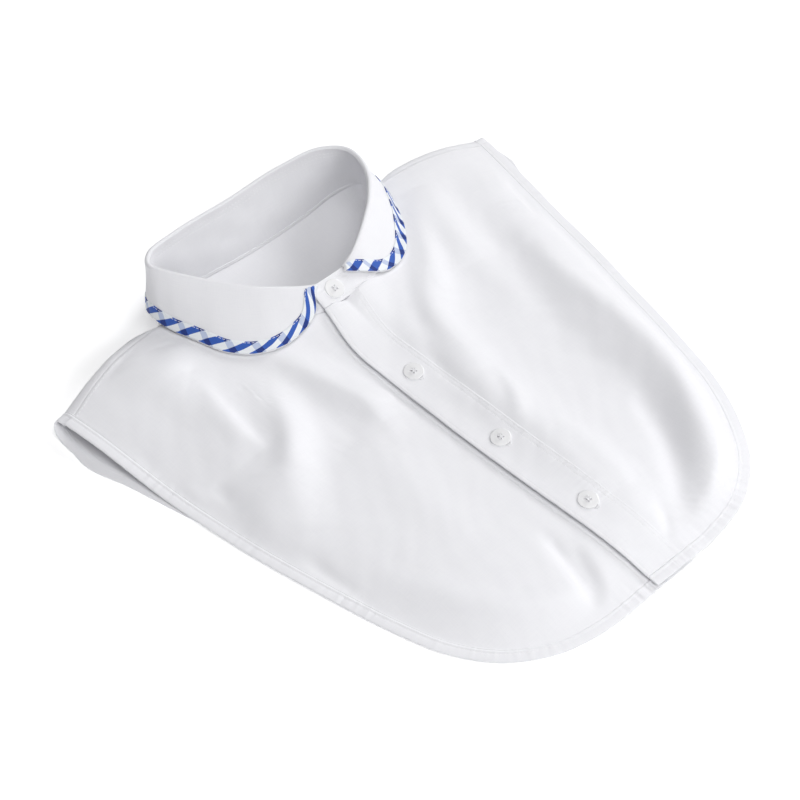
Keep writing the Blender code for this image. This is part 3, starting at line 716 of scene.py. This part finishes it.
def bound_strip(edge, out, seed):
    """A binding's middle, from a panel's edge in three dimensions and the way out of it."""
    along = lengths_along(edge)
    places = band_places(-0.35, BINDING_WIDTH, (0.1, BINDING_STITCHES), count=9)
    strip = []
    for reach in places:
        ridge = 0.26 * math.exp(-(((reach - 0.9) / 0.6) ** 2)) - 0.3 * math.exp(-(((reach + 0.1) / 0.35) ** 2))
        drop = BINDING_SLOPE * reach + 0.45 * (reach / BINDING_WIDTH) ** 4
        groove = grooves(np.array([reach]), (BINDING_STITCHES,))[0]
        wave = 0.03 * ripple(along, seed) * (1 + reach / BINDING_WIDTH)
        slow = 0.35 * np.sin(along / 17.0 + seed) * np.sin(along / 41.0 + 2 * seed) * reach / BINDING_WIDTH
        lift = ridge - drop + groove + wave + slow
        strip.append(edge + out * reach + np.stack([0 * along, 0 * along, lift], axis=1))
    return np.array(strip)


binding_strips = []
for side, name, node in (
    (-1, "right_front_binding", "binding_front_right"),
    (+1, "left_front_binding", "binding_front_left"),
):
    edge = curve_through(FRONT_LINE[side], 900)
    height = over_height if side > 0 else under_height
    edge_points = np.column_stack([edge, height(edge[:, 0], edge[:, 1])])
    out = np.column_stack([beyond(edge, side), np.zeros(len(edge))])
    strip = bound_strip(edge_points, out, seed=1.0 + side)
    binding_strips.append(strip)
    binding = cloth_sheet(name, strip, BINDING_THICK, WHITE_SHIRTING)
    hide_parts(node)

back_open = back_middle[:-1]
edge = np.concatenate([back_open[::-1, 0], back_open[0, 1:-1], back_open[:, -1]])
inside = np.concatenate([back_open[::-1, 3], back_open[3, 1:-1], back_open[:, -4]])
edge, inside = curve_through(edge, 1300), curve_through(inside, 1300)
along = unit(np.gradient(edge, axis=0))
out = edge - inside
out = unit(out - along * (out * along).sum(axis=1, keepdims=True))
for _ in range(60):
    out[1:-1] = unit(out[:-2] + out[1:-1] + out[2:])
back_strip = bound_strip(edge, out, seed=3.0)
back_strip[..., 2] = np.maximum(back_strip[..., 2], 0.45)
back_binding = cloth_sheet("back_binding", back_strip, BINDING_THICK, WHITE_SHIRTING)
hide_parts("binding_back")


# The collar stand
# A stiffened band sewn to the neck seam. It stands up round the neck, its two ends lapping at
# the centre front under the top button.
ROLL_RADIUS = 1.3
STAND_OVERLAP = 27.5
STAND_STITCHES = (3.6, 6.2)
STAND_THICK = 0.9
LAYER = WALL + GAP


def lap_shift(count):
    """How far each section moves out where the collar's ends lap: the wearer's left end over the right."""
    place = np.linspace(0, 48, count)
    return LAYER / 2 * (eased((place - 40) / 6) - eased((8 - place) / 6))


seam, fold, edge, up, out = ring_frames()
stand_top = fold - up * (ROLL_RADIUS - 0.3)
stand_bottom = seam
far = np.linspace(STAND_OVERLAP, 0, 12, endpoint=False)[:, None] * np.array([1.0, 0, 0])
stand_bottom = np.concatenate([stand_bottom[:1] + far, stand_bottom, (stand_bottom[-1:] - far)[::-1]])
stand_top = np.concatenate([stand_top[:1] + far, stand_top, (stand_top[-1:] - far)[::-1]])
stand_out = np.concatenate([np.repeat(out[:1], 12, 0), out, np.repeat(out[-1:], 12, 0)])
shift = np.pad(lap_shift(len(out)), 12, mode="edge")
stand_tall = np.linalg.norm(stand_top - stand_bottom, axis=1)
part = np.linspace(0, 1, 56)[:, None]
from_top, from_seam = (1 - part) * stand_tall, part * stand_tall
stand_along = lengths_along(stand_top)
creased = 0.22 * np.sin(stand_along / 5.3 + 9 * part) * np.sin(stand_along / 17.0 - 4 * part + 1)
creased = creased + 0.10 * np.sin(stand_along / 2.9 - 11 * part) * np.sin(stand_along / 11.0 + 5 * part)
sewn = sum(np.exp(-(((from_top - line) / 0.45) ** 2)) for line in STAND_STITCHES)
sewn = 0.16 * sewn + 0.14 * np.exp(-(((from_seam - 1.9) / 0.45) ** 2))
pull = (creased * np.sin(math.pi * part) ** 0.7 + sewn)[..., None]
stand_middle = stand_bottom + (stand_top - stand_bottom) * part[..., None] + stand_out * (shift[:, None] + pull)
stand_grain = np.dstack(np.meshgrid(stand_along, np.linspace(0, 40, len(part))))
stand = cloth_sheet("stand_cloth", stand_middle, STAND_THICK, WHITE_SHIRTING, stand_grain)
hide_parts("collar_stand")


# The fall
# The outer collar turns over the stand in a tight roll and drops to the shoulders, with round
# front corners.
FALL_CLEARANCE = 2.1
FALL_DROP = 0.33
FALL_BELLY = 0.03
BELOW_SEAM = 7.0
SHOULDER_Y = 12.0
NECK_CENTRE = SEAM_LINE[:, :2].mean(axis=0)


def fall_grid(roll_rows=12, drop_rows=30):
    root = fold - up * (ROLL_RADIUS + WALL / 2)
    centre = root + out * ROLL_RADIUS
    rows = []
    for turn in np.linspace(0, math.pi, roll_rows):
        rows.append(centre + ROLL_RADIUS * (math.sin(turn) * up - math.cos(turn) * out))
    start = rows[-1]
    length = np.linalg.norm(edge - start, axis=1, keepdims=True)
    first = start - up * length * FALL_DROP
    second = edge + (start - edge) * FALL_DROP + out * length * FALL_BELLY
    for part in np.linspace(0, 1, drop_rows + 1)[1:]:
        row = bezier(start, first, second, edge, part)
        along = ((row - seam) * up).sum(axis=1)
        clear = FALL_CLEARANCE + np.maximum(lap_shift(len(row)), 0)
        short = np.where(along > -BELOW_SEAM, clear - ((row - seam) * out).sum(axis=1), 0)
        rows.append(row + out * np.maximum(short, 0)[:, None])
    sheet = np.array(rows)
    for _ in range(12):
        inner = sheet[roll_rows:-1, 1:-1]
        around = sheet[roll_rows - 1:-2, 1:-1] + sheet[roll_rows + 1:, 1:-1]
        beside = sheet[roll_rows:-1, :-2] + sheet[roll_rows:-1, 2:]
        sheet[roll_rows:-1, 1:-1] = 0.5 * inner + 0.125 * (around + beside)
    along = lengths_along(edge)
    down = np.linspace(-0.35, 1, len(sheet))[:, None]
    wrinkled = 0.20 * np.sin(along / 3.1 + 1.2 * np.sin(along / 21.0)) * np.sin(along / 13.0 + 0.6)
    wrinkled = wrinkled + 0.45 * np.sin(along / 19.0 + 1.0) * np.sin(along / 31.0)
    hang = np.clip(down, 0, 1) * (1.25 - np.clip(down, 0, 1)) * 2
    sheet = sheet + out * (wrinkled * hang)[..., None]
    return laid_over_fronts(sheet)


def laid_over_fronts(sheet):
    """The sheet with each of its points raised, where it must be, to clear the front panels."""
    x, y = sheet[..., 0], sheet[..., 1]
    lift = LAYER + GAP
    under = np.where(x < middle_x(y), under_height(x, y, lift), over_height(x, y, lift))
    from_centre = np.hypot(x - NECK_CENTRE[0], y - NECK_CENTRE[1])
    seam_place = nearest(x, y, SEAM_LINE)[1]
    seam_reach = np.linalg.norm(SEAM_LINE[seam_place, :2] - NECK_CENTRE, axis=-1)
    outside = (y < SHOULDER_Y) & (from_centre > seam_reach - ROLL_RADIUS)
    cleared = sheet.copy()
    cleared[..., 2] = np.where(outside, np.maximum(sheet[..., 2], under), sheet[..., 2])
    return cleared


fall_middle = fall_grid()
fall_grain = np.dstack(np.meshgrid(lengths_along(edge), np.linspace(0, 55, len(fall_middle))))
fall = cloth_sheet("fall_cloth", fall_middle, 0.9, WHITE_SHIRTING, fall_grain)
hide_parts("collar_fall")


# The check trim
# A strip cut on the bias from a blue and grey check, stitched on along the fall's edge.
TRIM_WIDTH = 7.5
TRIM_LIFT = 0.8
TRIM_THICK = 0.6


def outward(grid):
    """Normals on the side of the grid away from the neck."""
    normal = normals_of(grid)
    away = grid[..., :2] - NECK_CENTRE
    return normal * np.sign((normal[..., :2] * away).sum(axis=-1).mean())


def trim_grid(rows=9, roll_rows=12, steps=80):
    """The trim's points, from the fall's own points moved out, and how far each is from the edge."""
    outer = fall_middle + outward(fall_middle) * TRIM_LIFT
    strip, depth = [], []
    for column in range(1, outer.shape[1] - 1):
        line = curve_through(outer[roll_rows:, column], steps)
        away = np.linalg.norm(line[:, None] - outer[-1][None], axis=2).min(axis=1)
        inner = np.argmax(away <= TRIM_WIDTH)
        places = np.linspace(inner, steps - 1, rows)
        strip.append([[np.interp(place, np.arange(steps), axis) for axis in line.T] for place in places])
        depth.append(np.interp(places, np.arange(steps), away))
    strip, depth = np.array(strip).transpose(1, 0, 2), np.array(depth).T
    for _ in range(6):
        strip[:, 1:-1] = 0.5 * strip[:, 1:-1] + 0.25 * (strip[:, :-2] + strip[:, 2:])
        depth[:, 1:-1] = 0.5 * depth[:, 1:-1] + 0.25 * (depth[:, :-2] + depth[:, 2:])
    return strip, depth


CHECK_TURN = math.radians(25.5)
CHECK_ALONG = 0.0168
CHECK_TOTAL = 536.7
Stripe = namedtuple("Stripe", "axis repeat start share")
BLUE_STRIPE = Stripe(axis="Y", repeat=CHECK_ALONG * math.sin(CHECK_TURN), start=0.524, share=0.47)
GREY_STRIPE = Stripe(axis="X", repeat=CHECK_ALONG * math.cos(CHECK_TURN), start=0.667, share=0.32)


def check_cloth():
    """Bias check: broad blue stripes one way, pale grey-blue ones the other, on white."""
    material = bpy.data.materials.new("check_cotton")
    material.use_nodes = True
    nodes, links = material.node_tree.nodes, material.node_tree.links
    shader = nodes["Principled BSDF"]
    shader.inputs["Roughness"].default_value = 0.8
    shader.inputs["Sheen Weight"].default_value = 0.1
    grain = nodes.new("ShaderNodeUVMap")
    grain.uv_map = "grain"
    turn = nodes.new("ShaderNodeVectorRotate")
    turn.rotation_type = "Z_AXIS"
    turn.inputs["Angle"].default_value = CHECK_TURN
    links.new(grain.outputs["UV"], turn.inputs["Vector"])
    parts = nodes.new("ShaderNodeSeparateXYZ")
    links.new(turn.outputs["Vector"], parts.inputs[0])
    stripes = []
    for stripe in (BLUE_STRIPE, GREY_STRIPE):
        phase = nodes.new("ShaderNodeMath")
        phase.operation = "MULTIPLY_ADD"
        phase.inputs[1].default_value = 1 / stripe.repeat
        phase.inputs[2].default_value = stripe.start
        links.new(parts.outputs[stripe.axis], phase.inputs[0])
        fraction = nodes.new("ShaderNodeMath")
        fraction.operation = "FRACT"
        links.new(phase.outputs[0], fraction.inputs[0])
        inside = nodes.new("ShaderNodeMath")
        inside.operation = "LESS_THAN"
        inside.inputs[1].default_value = stripe.share
        links.new(fraction.outputs[0], inside.inputs[0])
        stripes.append(inside)
    tones = ((0.84, 0.87, 0.90, 1), (0.52, 0.59, 0.77, 1), (0.03, 0.105, 0.46, 1), (0.01, 0.035, 0.22, 1))
    pairs = []
    for light_tone, crossed in ((tones[0], tones[1]), (tones[2], tones[3])):
        mix = nodes.new("ShaderNodeMix")
        mix.data_type = "RGBA"
        mix.inputs["A"].default_value = light_tone
        mix.inputs["B"].default_value = crossed
        links.new(stripes[1].outputs[0], mix.inputs["Factor"])
        pairs.append(mix)
    whole = nodes.new("ShaderNodeMix")
    whole.data_type = "RGBA"
    links.new(stripes[0].outputs[0], whole.inputs["Factor"])
    links.new(pairs[0].outputs["Result"], whole.inputs["A"])
    links.new(pairs[1].outputs["Result"], whole.inputs["B"])
    links.new(whole.outputs["Result"], shader.inputs["Base Color"])
    weave = nodes.new("ShaderNodeGroup")
    weave.node_tree = PLAIN_WEAVE
    weave.inputs["Thread"].default_value = THREAD
    links.new(turn.outputs["Vector"], weave.inputs["Grain"])
    bump = nodes.new("ShaderNodeBump")
    bump.inputs["Distance"].default_value = 0.00003
    bump.inputs["Strength"].default_value = 0.6
    links.new(weave.outputs["Height"], bump.inputs["Height"])
    links.new(bump.outputs["Normal"], shader.inputs["Normal"])
    return material


trim_middle, trim_depth = trim_grid()
trim_length = lengths_along(trim_middle[-1])
half_way = trim_length[-1] / 2
eased_in = (CHECK_TOTAL - trim_length[-1]) / half_way
check_length = trim_length + eased_in * np.maximum(trim_length - half_way, 0)
trim_grain = np.dstack([np.broadcast_to(check_length, trim_depth.shape), trim_depth])
trim = cloth_sheet("trim_cloth", trim_middle, TRIM_THICK, check_cloth(), trim_grain)
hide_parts("collar_trim")


# The stitching
# White thread runs in short stitches down every seam. They lie in rows, sunk a little in the
# cloth, 2.6 mm from one to the next.
STITCH_PITCH = 2.6
STITCH_LENGTH = 1.9
STITCH_WIDTH = 0.42
STITCH_HEIGHT = 0.34
STITCH_ENDS = ((-0.5, 0.4), (-0.36, 1.0), (0.36, 1.0), (0.5, 0.4))
STITCH_SIDES = 6

thread_white = bpy.data.materials.new("white_thread")
thread_white.use_nodes = True
thread_shader = thread_white.node_tree.nodes["Principled BSDF"]
thread_shader.inputs["Base Color"].default_value = (0.88, 0.88, 0.9, 1)
thread_shader.inputs["Roughness"].default_value = 0.6
thread_shader.inputs["Sheen Weight"].default_value = 0.2


def stitches(centres, along, normals, length=STITCH_LENGTH, width=STITCH_WIDTH, height=STITCH_HEIGHT):
    """Points and faces of short capsules of thread, one at each centre."""
    along = unit(along - normals * (along * normals).sum(axis=1, keepdims=True))
    aside = np.cross(normals, along)
    points = []
    for reach, size in STITCH_ENDS:
        for k in range(STITCH_SIDES):
            turn = 2 * math.pi * k / STITCH_SIDES
            sideways, raised = size * math.cos(turn) * width / 2, size * math.sin(turn) * height / 2
            points.append(centres + along * reach * length + aside * sideways + normals * raised)
    points = np.stack(points, axis=1)
    faces = [tuple(range(STITCH_SIDES))[::-1], tuple(range(3 * STITCH_SIDES, 4 * STITCH_SIDES))]
    for ring in range(3):
        for k in range(STITCH_SIDES):
            low, after = ring * STITCH_SIDES, (k + 1) % STITCH_SIDES
            faces.append((low + k, low + after, low + STITCH_SIDES + after, low + STITCH_SIDES + k))
    return points, faces


def stitch_row(line, normals, sunk=0.02, pitch=STITCH_PITCH):
    """A row of stitches along a line that lies on the cloth's face."""
    along = lengths_along(line)
    places = np.arange(pitch / 2, along[-1], pitch)
    centres = np.stack([np.interp(places, along, axis) for axis in line.T], axis=1)
    facing = unit(np.stack([np.interp(places, along, axis) for axis in normals.T], axis=1))
    ways = np.gradient(line, axis=0)
    ways = np.stack([np.interp(places, along, axis) for axis in ways.T], axis=1)
    return stitches(centres - facing * sunk, ways, facing)


def surface_row(x, y, height, lift):
    """A row of stitches over places in plan, on a surface that is given by its height."""
    step = 1.0
    slope_x = (height(x + step, y) - height(x - step, y)) / (2 * step)
    slope_y = (height(x, y + step) - height(x, y - step)) / (2 * step)
    normal = unit(np.stack([-slope_x, -slope_y, np.ones_like(slope_x)], axis=-1))
    return stitch_row(np.stack([x, y, height(x, y)], axis=-1) + normal * lift, normal)


def sew(name, node, rows):
    """One piece of thread from several rows of stitches. The node argument, the sewn piece, is not used."""
    points, faces, count = [], [], 0
    for row, shape in rows:
        for stitch in row:
            points.append(stitch)
            faces.extend(tuple(corner + count for corner in face) for face in shape)
            count += len(stitch)
    mesh = bpy.data.meshes.new(name)
    mesh.from_pydata(((np.concatenate(points) + SEAT) * 0.001).tolist(), [], faces)
    mesh.materials.append(thread_white)
    mesh.shade_smooth()
    thread = bpy.data.objects.new(name, mesh)
    bpy.context.collection.objects.link(thread)
    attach(thread, "root")
    return thread


def on_face(grid, line, thick, turned=1):
    """A row of a grid's columns as a line on the cloth's upper or lower face, with its normals."""
    normal = normals_of(grid) * turned
    return grid[line] + normal[line] * thick / 2, normal[line]


def across_band(places, wanted):
    return int(np.abs(np.asarray(places) - wanted).argmin())


def facing_up(grid):
    return 1 if normals_of(grid)[..., 2].mean() > 0 else -1


rows = []
turned = facing_up(placket_middle)
for place in PLACKET_ROWS_OF_STITCHES:
    column = across_band(placket_across, place)
    line, normal = on_face(placket_middle, np.s_[:, column], placket_thick[column], turned)
    rows.append(stitch_row(line[2:-2], normal[2:-2]))
sew("placket_thread", "placket", rows)

band = band_places(-0.35, BINDING_WIDTH, (0.1, BINDING_STITCHES), count=9)
for name, strip in (("binding_thread", binding_strips), ("back_binding_thread", [back_strip])):
    rows = []
    for one in strip:
        line, normal = on_face(
            one, np.s_[across_band(band, BINDING_STITCHES)], BINDING_THICK, facing_up(one)
        )
        rows.append(stitch_row(line, normal))
    sew(name, name, rows)

rows = []
SHOULDER_STITCHES = 2.2
UNDER_PLACKET_STITCHES = 3.0
for side in (-1, +1):
    height = over_height if side > 0 else under_height
    neck_side = ring_frames()[0][side_neck(side), :2]
    x, y = curve_through(shoulder_line(side, neck_side), 200).T
    y = y - SHOULDER_STITCHES
    rows.append(surface_row(x[4:], y[4:], height, CLOTH / 2))
y = np.linspace(NECK_FRONT_Y - 4, HEM_Y + 1, 300)
rows.append(surface_row(middle_x(y) - PLACKET_WIDTH / 2 - UNDER_PLACKET_STITCHES, y, under_height, CLOTH / 2))
sew("front_thread", "front_left", rows)

inner_face = -1 if (outward(stand_middle) * normals_of(stand_middle)).sum() > 0 else 1
rows = []
for line in STAND_STITCHES:
    lines = [across_band(from_top[:, column], line) for column in range(stand_middle.shape[1])]
    picked = stand_middle[lines, np.arange(len(lines))]
    normal = (normals_of(stand_middle) * inner_face)[lines, np.arange(len(lines))]
    rows.append(stitch_row(picked + normal * STAND_THICK / 2, normal))
lines = [across_band(from_seam[:, column], 1.9) for column in range(stand_middle.shape[1])]
picked = stand_middle[lines, np.arange(len(lines))]
for turned in (inner_face, -inner_face):
    normal = (normals_of(stand_middle) * turned)[lines, np.arange(len(lines))]
    rows.append(stitch_row(picked + normal * STAND_THICK / 2, normal))
sew("stand_thread", "collar_stand", rows)

rows = []
for depth in (TRIM_WIDTH - 0.8,):
    line = np.array([
        [np.interp(depth, trim_depth[::-1, column], axis[::-1]) for axis in trim_middle[:, column].T]
        for column in range(trim_middle.shape[1])
    ])
    normal = outward(trim_middle)[len(trim_middle) // 2]
    rows.append(stitch_row(line + normal * TRIM_THICK / 2, normal, sunk=0.08))
sew("trim_thread", "collar_trim", rows)


# The buttonholes
# A close ring of satin stitches binds each buttonhole in the placket, upright under its button.
BUTTONHOLE_HALF = 6.9
BUTTONHOLE_REACH = 1.15
SATIN_PITCH = 0.42


def spot_on(height, x, y, lift):
    """A place on a surface, raised along its normal, and the normal."""
    step = 1.5
    slope_x = (height(x + step, y) - height(x - step, y)) / (2 * step)
    slope_y = (height(x, y + step) - height(x, y - step)) / (2 * step)
    normal = unit(np.stack([-slope_x, -slope_y, np.ones_like(slope_x)], axis=-1))
    return np.stack([x, y, height(x, y)], axis=-1) + normal * lift, normal


def satin_ring(place_of, half=BUTTONHOLE_HALF, reach=BUTTONHOLE_REACH):
    """Satin stitches square to a long narrow loop. place_of takes places along and across it."""
    straight = np.arange(-half + reach, half - reach, SATIN_PITCH)
    turns = np.linspace(-math.pi / 2, math.pi / 2, 9)
    along = np.concatenate([
        straight, half - reach + reach * np.cos(turns), straight[::-1], -half + reach - reach * np.cos(turns),
    ])
    across = np.concatenate([
        0 * straight + reach, -reach * np.sin(turns), 0 * straight - reach, reach * np.sin(turns),
    ])
    way_along = np.concatenate([0 * straight, np.cos(turns), 0 * straight, -np.cos(turns)])
    way_across = np.concatenate([0 * straight + 1, -np.sin(turns), 0 * straight - 1, np.sin(turns)])
    centres, normals = place_of(along, across)
    beyond_centres, _ = place_of(along + 0.5 * way_along, across + 0.5 * way_across)
    return stitches(centres, beyond_centres - centres, normals, length=1.5, width=0.5, height=0.5)


BUTTON_PLACES = (-123.0, -196.0, -264.0)
PLACKET_FACE = PLACKET_LIFT + PLACKET_FLAT / 2 + 0.15
rows = []
for y in BUTTON_PLACES:
    rows.append(satin_ring(lambda along, across, y=y: spot_on(
        over_height, middle_x(y - 0.6 + along) + across, y - 0.6 + along, PLACKET_FACE
    )))
sew("buttonhole_thread", "placket", rows)


# The buttons
# Four white shirt buttons, each with a rounded rim round a shallow dish and four holes, sewn on
# with a cross of white thread. They stay fastened.
BUTTON_DIAMETER = 12.5
BUTTON_THICKNESS = 2.2
BUTTON_RIM = 1.4
BUTTON_DISH = 0.75
BUTTON_WELL = 0.3
BUTTON_STANDS_OFF = 0.75
HOLE_RADIUS = 0.75
HOLE_SPREAD = 1.45


def button_white():
    """Glossy white plastic, a shade warmer than the cloth."""
    material = bpy.data.materials.new("white_plastic")
    material.use_nodes = True
    shader = material.node_tree.nodes["Principled BSDF"]
    shader.inputs["Base Color"].default_value = (0.85, 0.85, 0.86, 1)
    shader.inputs["Roughness"].default_value = 0.22
    shader.inputs["Subsurface Weight"].default_value = 0.0
    return material


def turn_button():
    """One button at the origin, with its back at zero."""
    thick = BUTTON_THICKNESS * 0.001
    bpy.ops.object.select_all(action="DESELECT")
    bpy.ops.mesh.primitive_cylinder_add(
        vertices=64, radius=BUTTON_DIAMETER * 0.0005, depth=thick, location=(0, 0, thick / 2)
    )
    button = bpy.context.object
    for face in button.data.polygons:
        face.select = face.normal.z > 0.9
    bpy.ops.object.mode_set(mode="EDIT")
    bpy.ops.mesh.select_mode(type="FACE")
    bpy.ops.mesh.inset(thickness=BUTTON_RIM * 0.001)
    bpy.ops.mesh.inset(thickness=0.0004)
    bpy.ops.transform.translate(value=(0, 0, -BUTTON_DISH * 0.001))
    bpy.ops.mesh.inset(thickness=0.0007)
    bpy.ops.mesh.inset(thickness=0.0003)
    bpy.ops.transform.translate(value=(0, 0, -BUTTON_WELL * 0.001))
    bpy.ops.object.mode_set(mode="OBJECT")
    rounding = button.modifiers.new("rounding", "BEVEL")
    rounding.width = 0.00045
    rounding.segments = 4
    rounding.limit_method = "ANGLE"
    rounding.angle_limit = math.radians(25)
    bpy.ops.object.modifier_apply(modifier=rounding.name)
    for k in range(4):
        turn = math.pi / 4 + math.pi / 2 * k
        bpy.ops.object.select_all(action="DESELECT")
        bpy.ops.mesh.primitive_cylinder_add(
            vertices=20, radius=HOLE_RADIUS * 0.001, depth=thick * 4,
            location=(HOLE_SPREAD * 0.001 * math.cos(turn), HOLE_SPREAD * 0.001 * math.sin(turn), 0),
        )
        drill = bpy.context.object
        bpy.context.view_layer.objects.active = button
        hole = button.modifiers.new("hole", "BOOLEAN")
        hole.operation = "DIFFERENCE"
        hole.solver = "EXACT"
        hole.object = drill
        bpy.ops.object.modifier_apply(modifier=hole.name)
        bpy.data.objects.remove(drill)
    bpy.ops.object.select_all(action="DESELECT")
    button.select_set(True)
    bpy.ops.object.shade_smooth_by_angle(angle=math.radians(32))
    return button


def seated(place, normal):
    """The matrix that puts a button's back on a place and turns its face to the normal."""
    across = unit(np.cross([0.0, 1.0, 0.0], normal))
    turned = Matrix(np.stack([across, np.cross(normal, across), normal], axis=1).tolist()).to_4x4()
    return Matrix.Translation(Vector(((place + SEAT) * 0.001).tolist())) @ turned


STAND_NORMAL_Y = 1.0
upper_end = stand_middle[:, -1]
stand_up = unit(upper_end[-1] - upper_end[0])
stand_normal = unit(np.cross([1.0, 0.0, 0.0], stand_up))
half_way = upper_end[0] + (upper_end[-1] - upper_end[0]) * 0.5 + [STAND_OVERLAP / 2, 0, 0]
seats = {"button_1": (half_way + stand_normal * (STAND_THICK / 2 + BUTTON_STANDS_OFF), stand_normal)}
for number, y in enumerate(BUTTON_PLACES, start=2):
    spot, normal = spot_on(over_height, np.array(float(middle_x(y))), np.array(y), PLACKET_FACE + BUTTON_STANDS_OFF)
    seats[f"button_{number}"] = (spot, normal)

pattern = turn_button()
pattern.data.materials.append(button_white())
rows = []
for node, (place, normal) in seats.items():
    button = pattern.copy()
    button.data = pattern.data.copy()
    button.name = f"{node}_turned"
    bpy.context.collection.objects.link(button)
    seat = seated(place, normal)
    button.data.transform(seat)
    button.matrix_world = Matrix.Identity(4)
    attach(button, "root")
    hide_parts(node)
    across = unit(np.cross([0.0, 1.0, 0.0], normal))
    upward = np.cross(normal, across)
    well = place + normal * (BUTTON_THICKNESS - BUTTON_DISH - BUTTON_WELL + 0.12)
    bars = [unit(across + upward), unit(across - upward)] * 2
    centres = np.array([well + normal * 0.1 * k for k in (0, 0, 1, 1)])
    shifts = np.array([bars[1], bars[0], -bars[1], -bars[0]]) * 0.22
    rows.append(stitches(
        centres + shifts, np.array(bars), np.array([normal] * 4),
        length=2 * HOLE_SPREAD + 1.2, width=0.4, height=0.45,
    ))
bpy.data.objects.remove(pattern)
sew("button_thread", "button_1", rows)
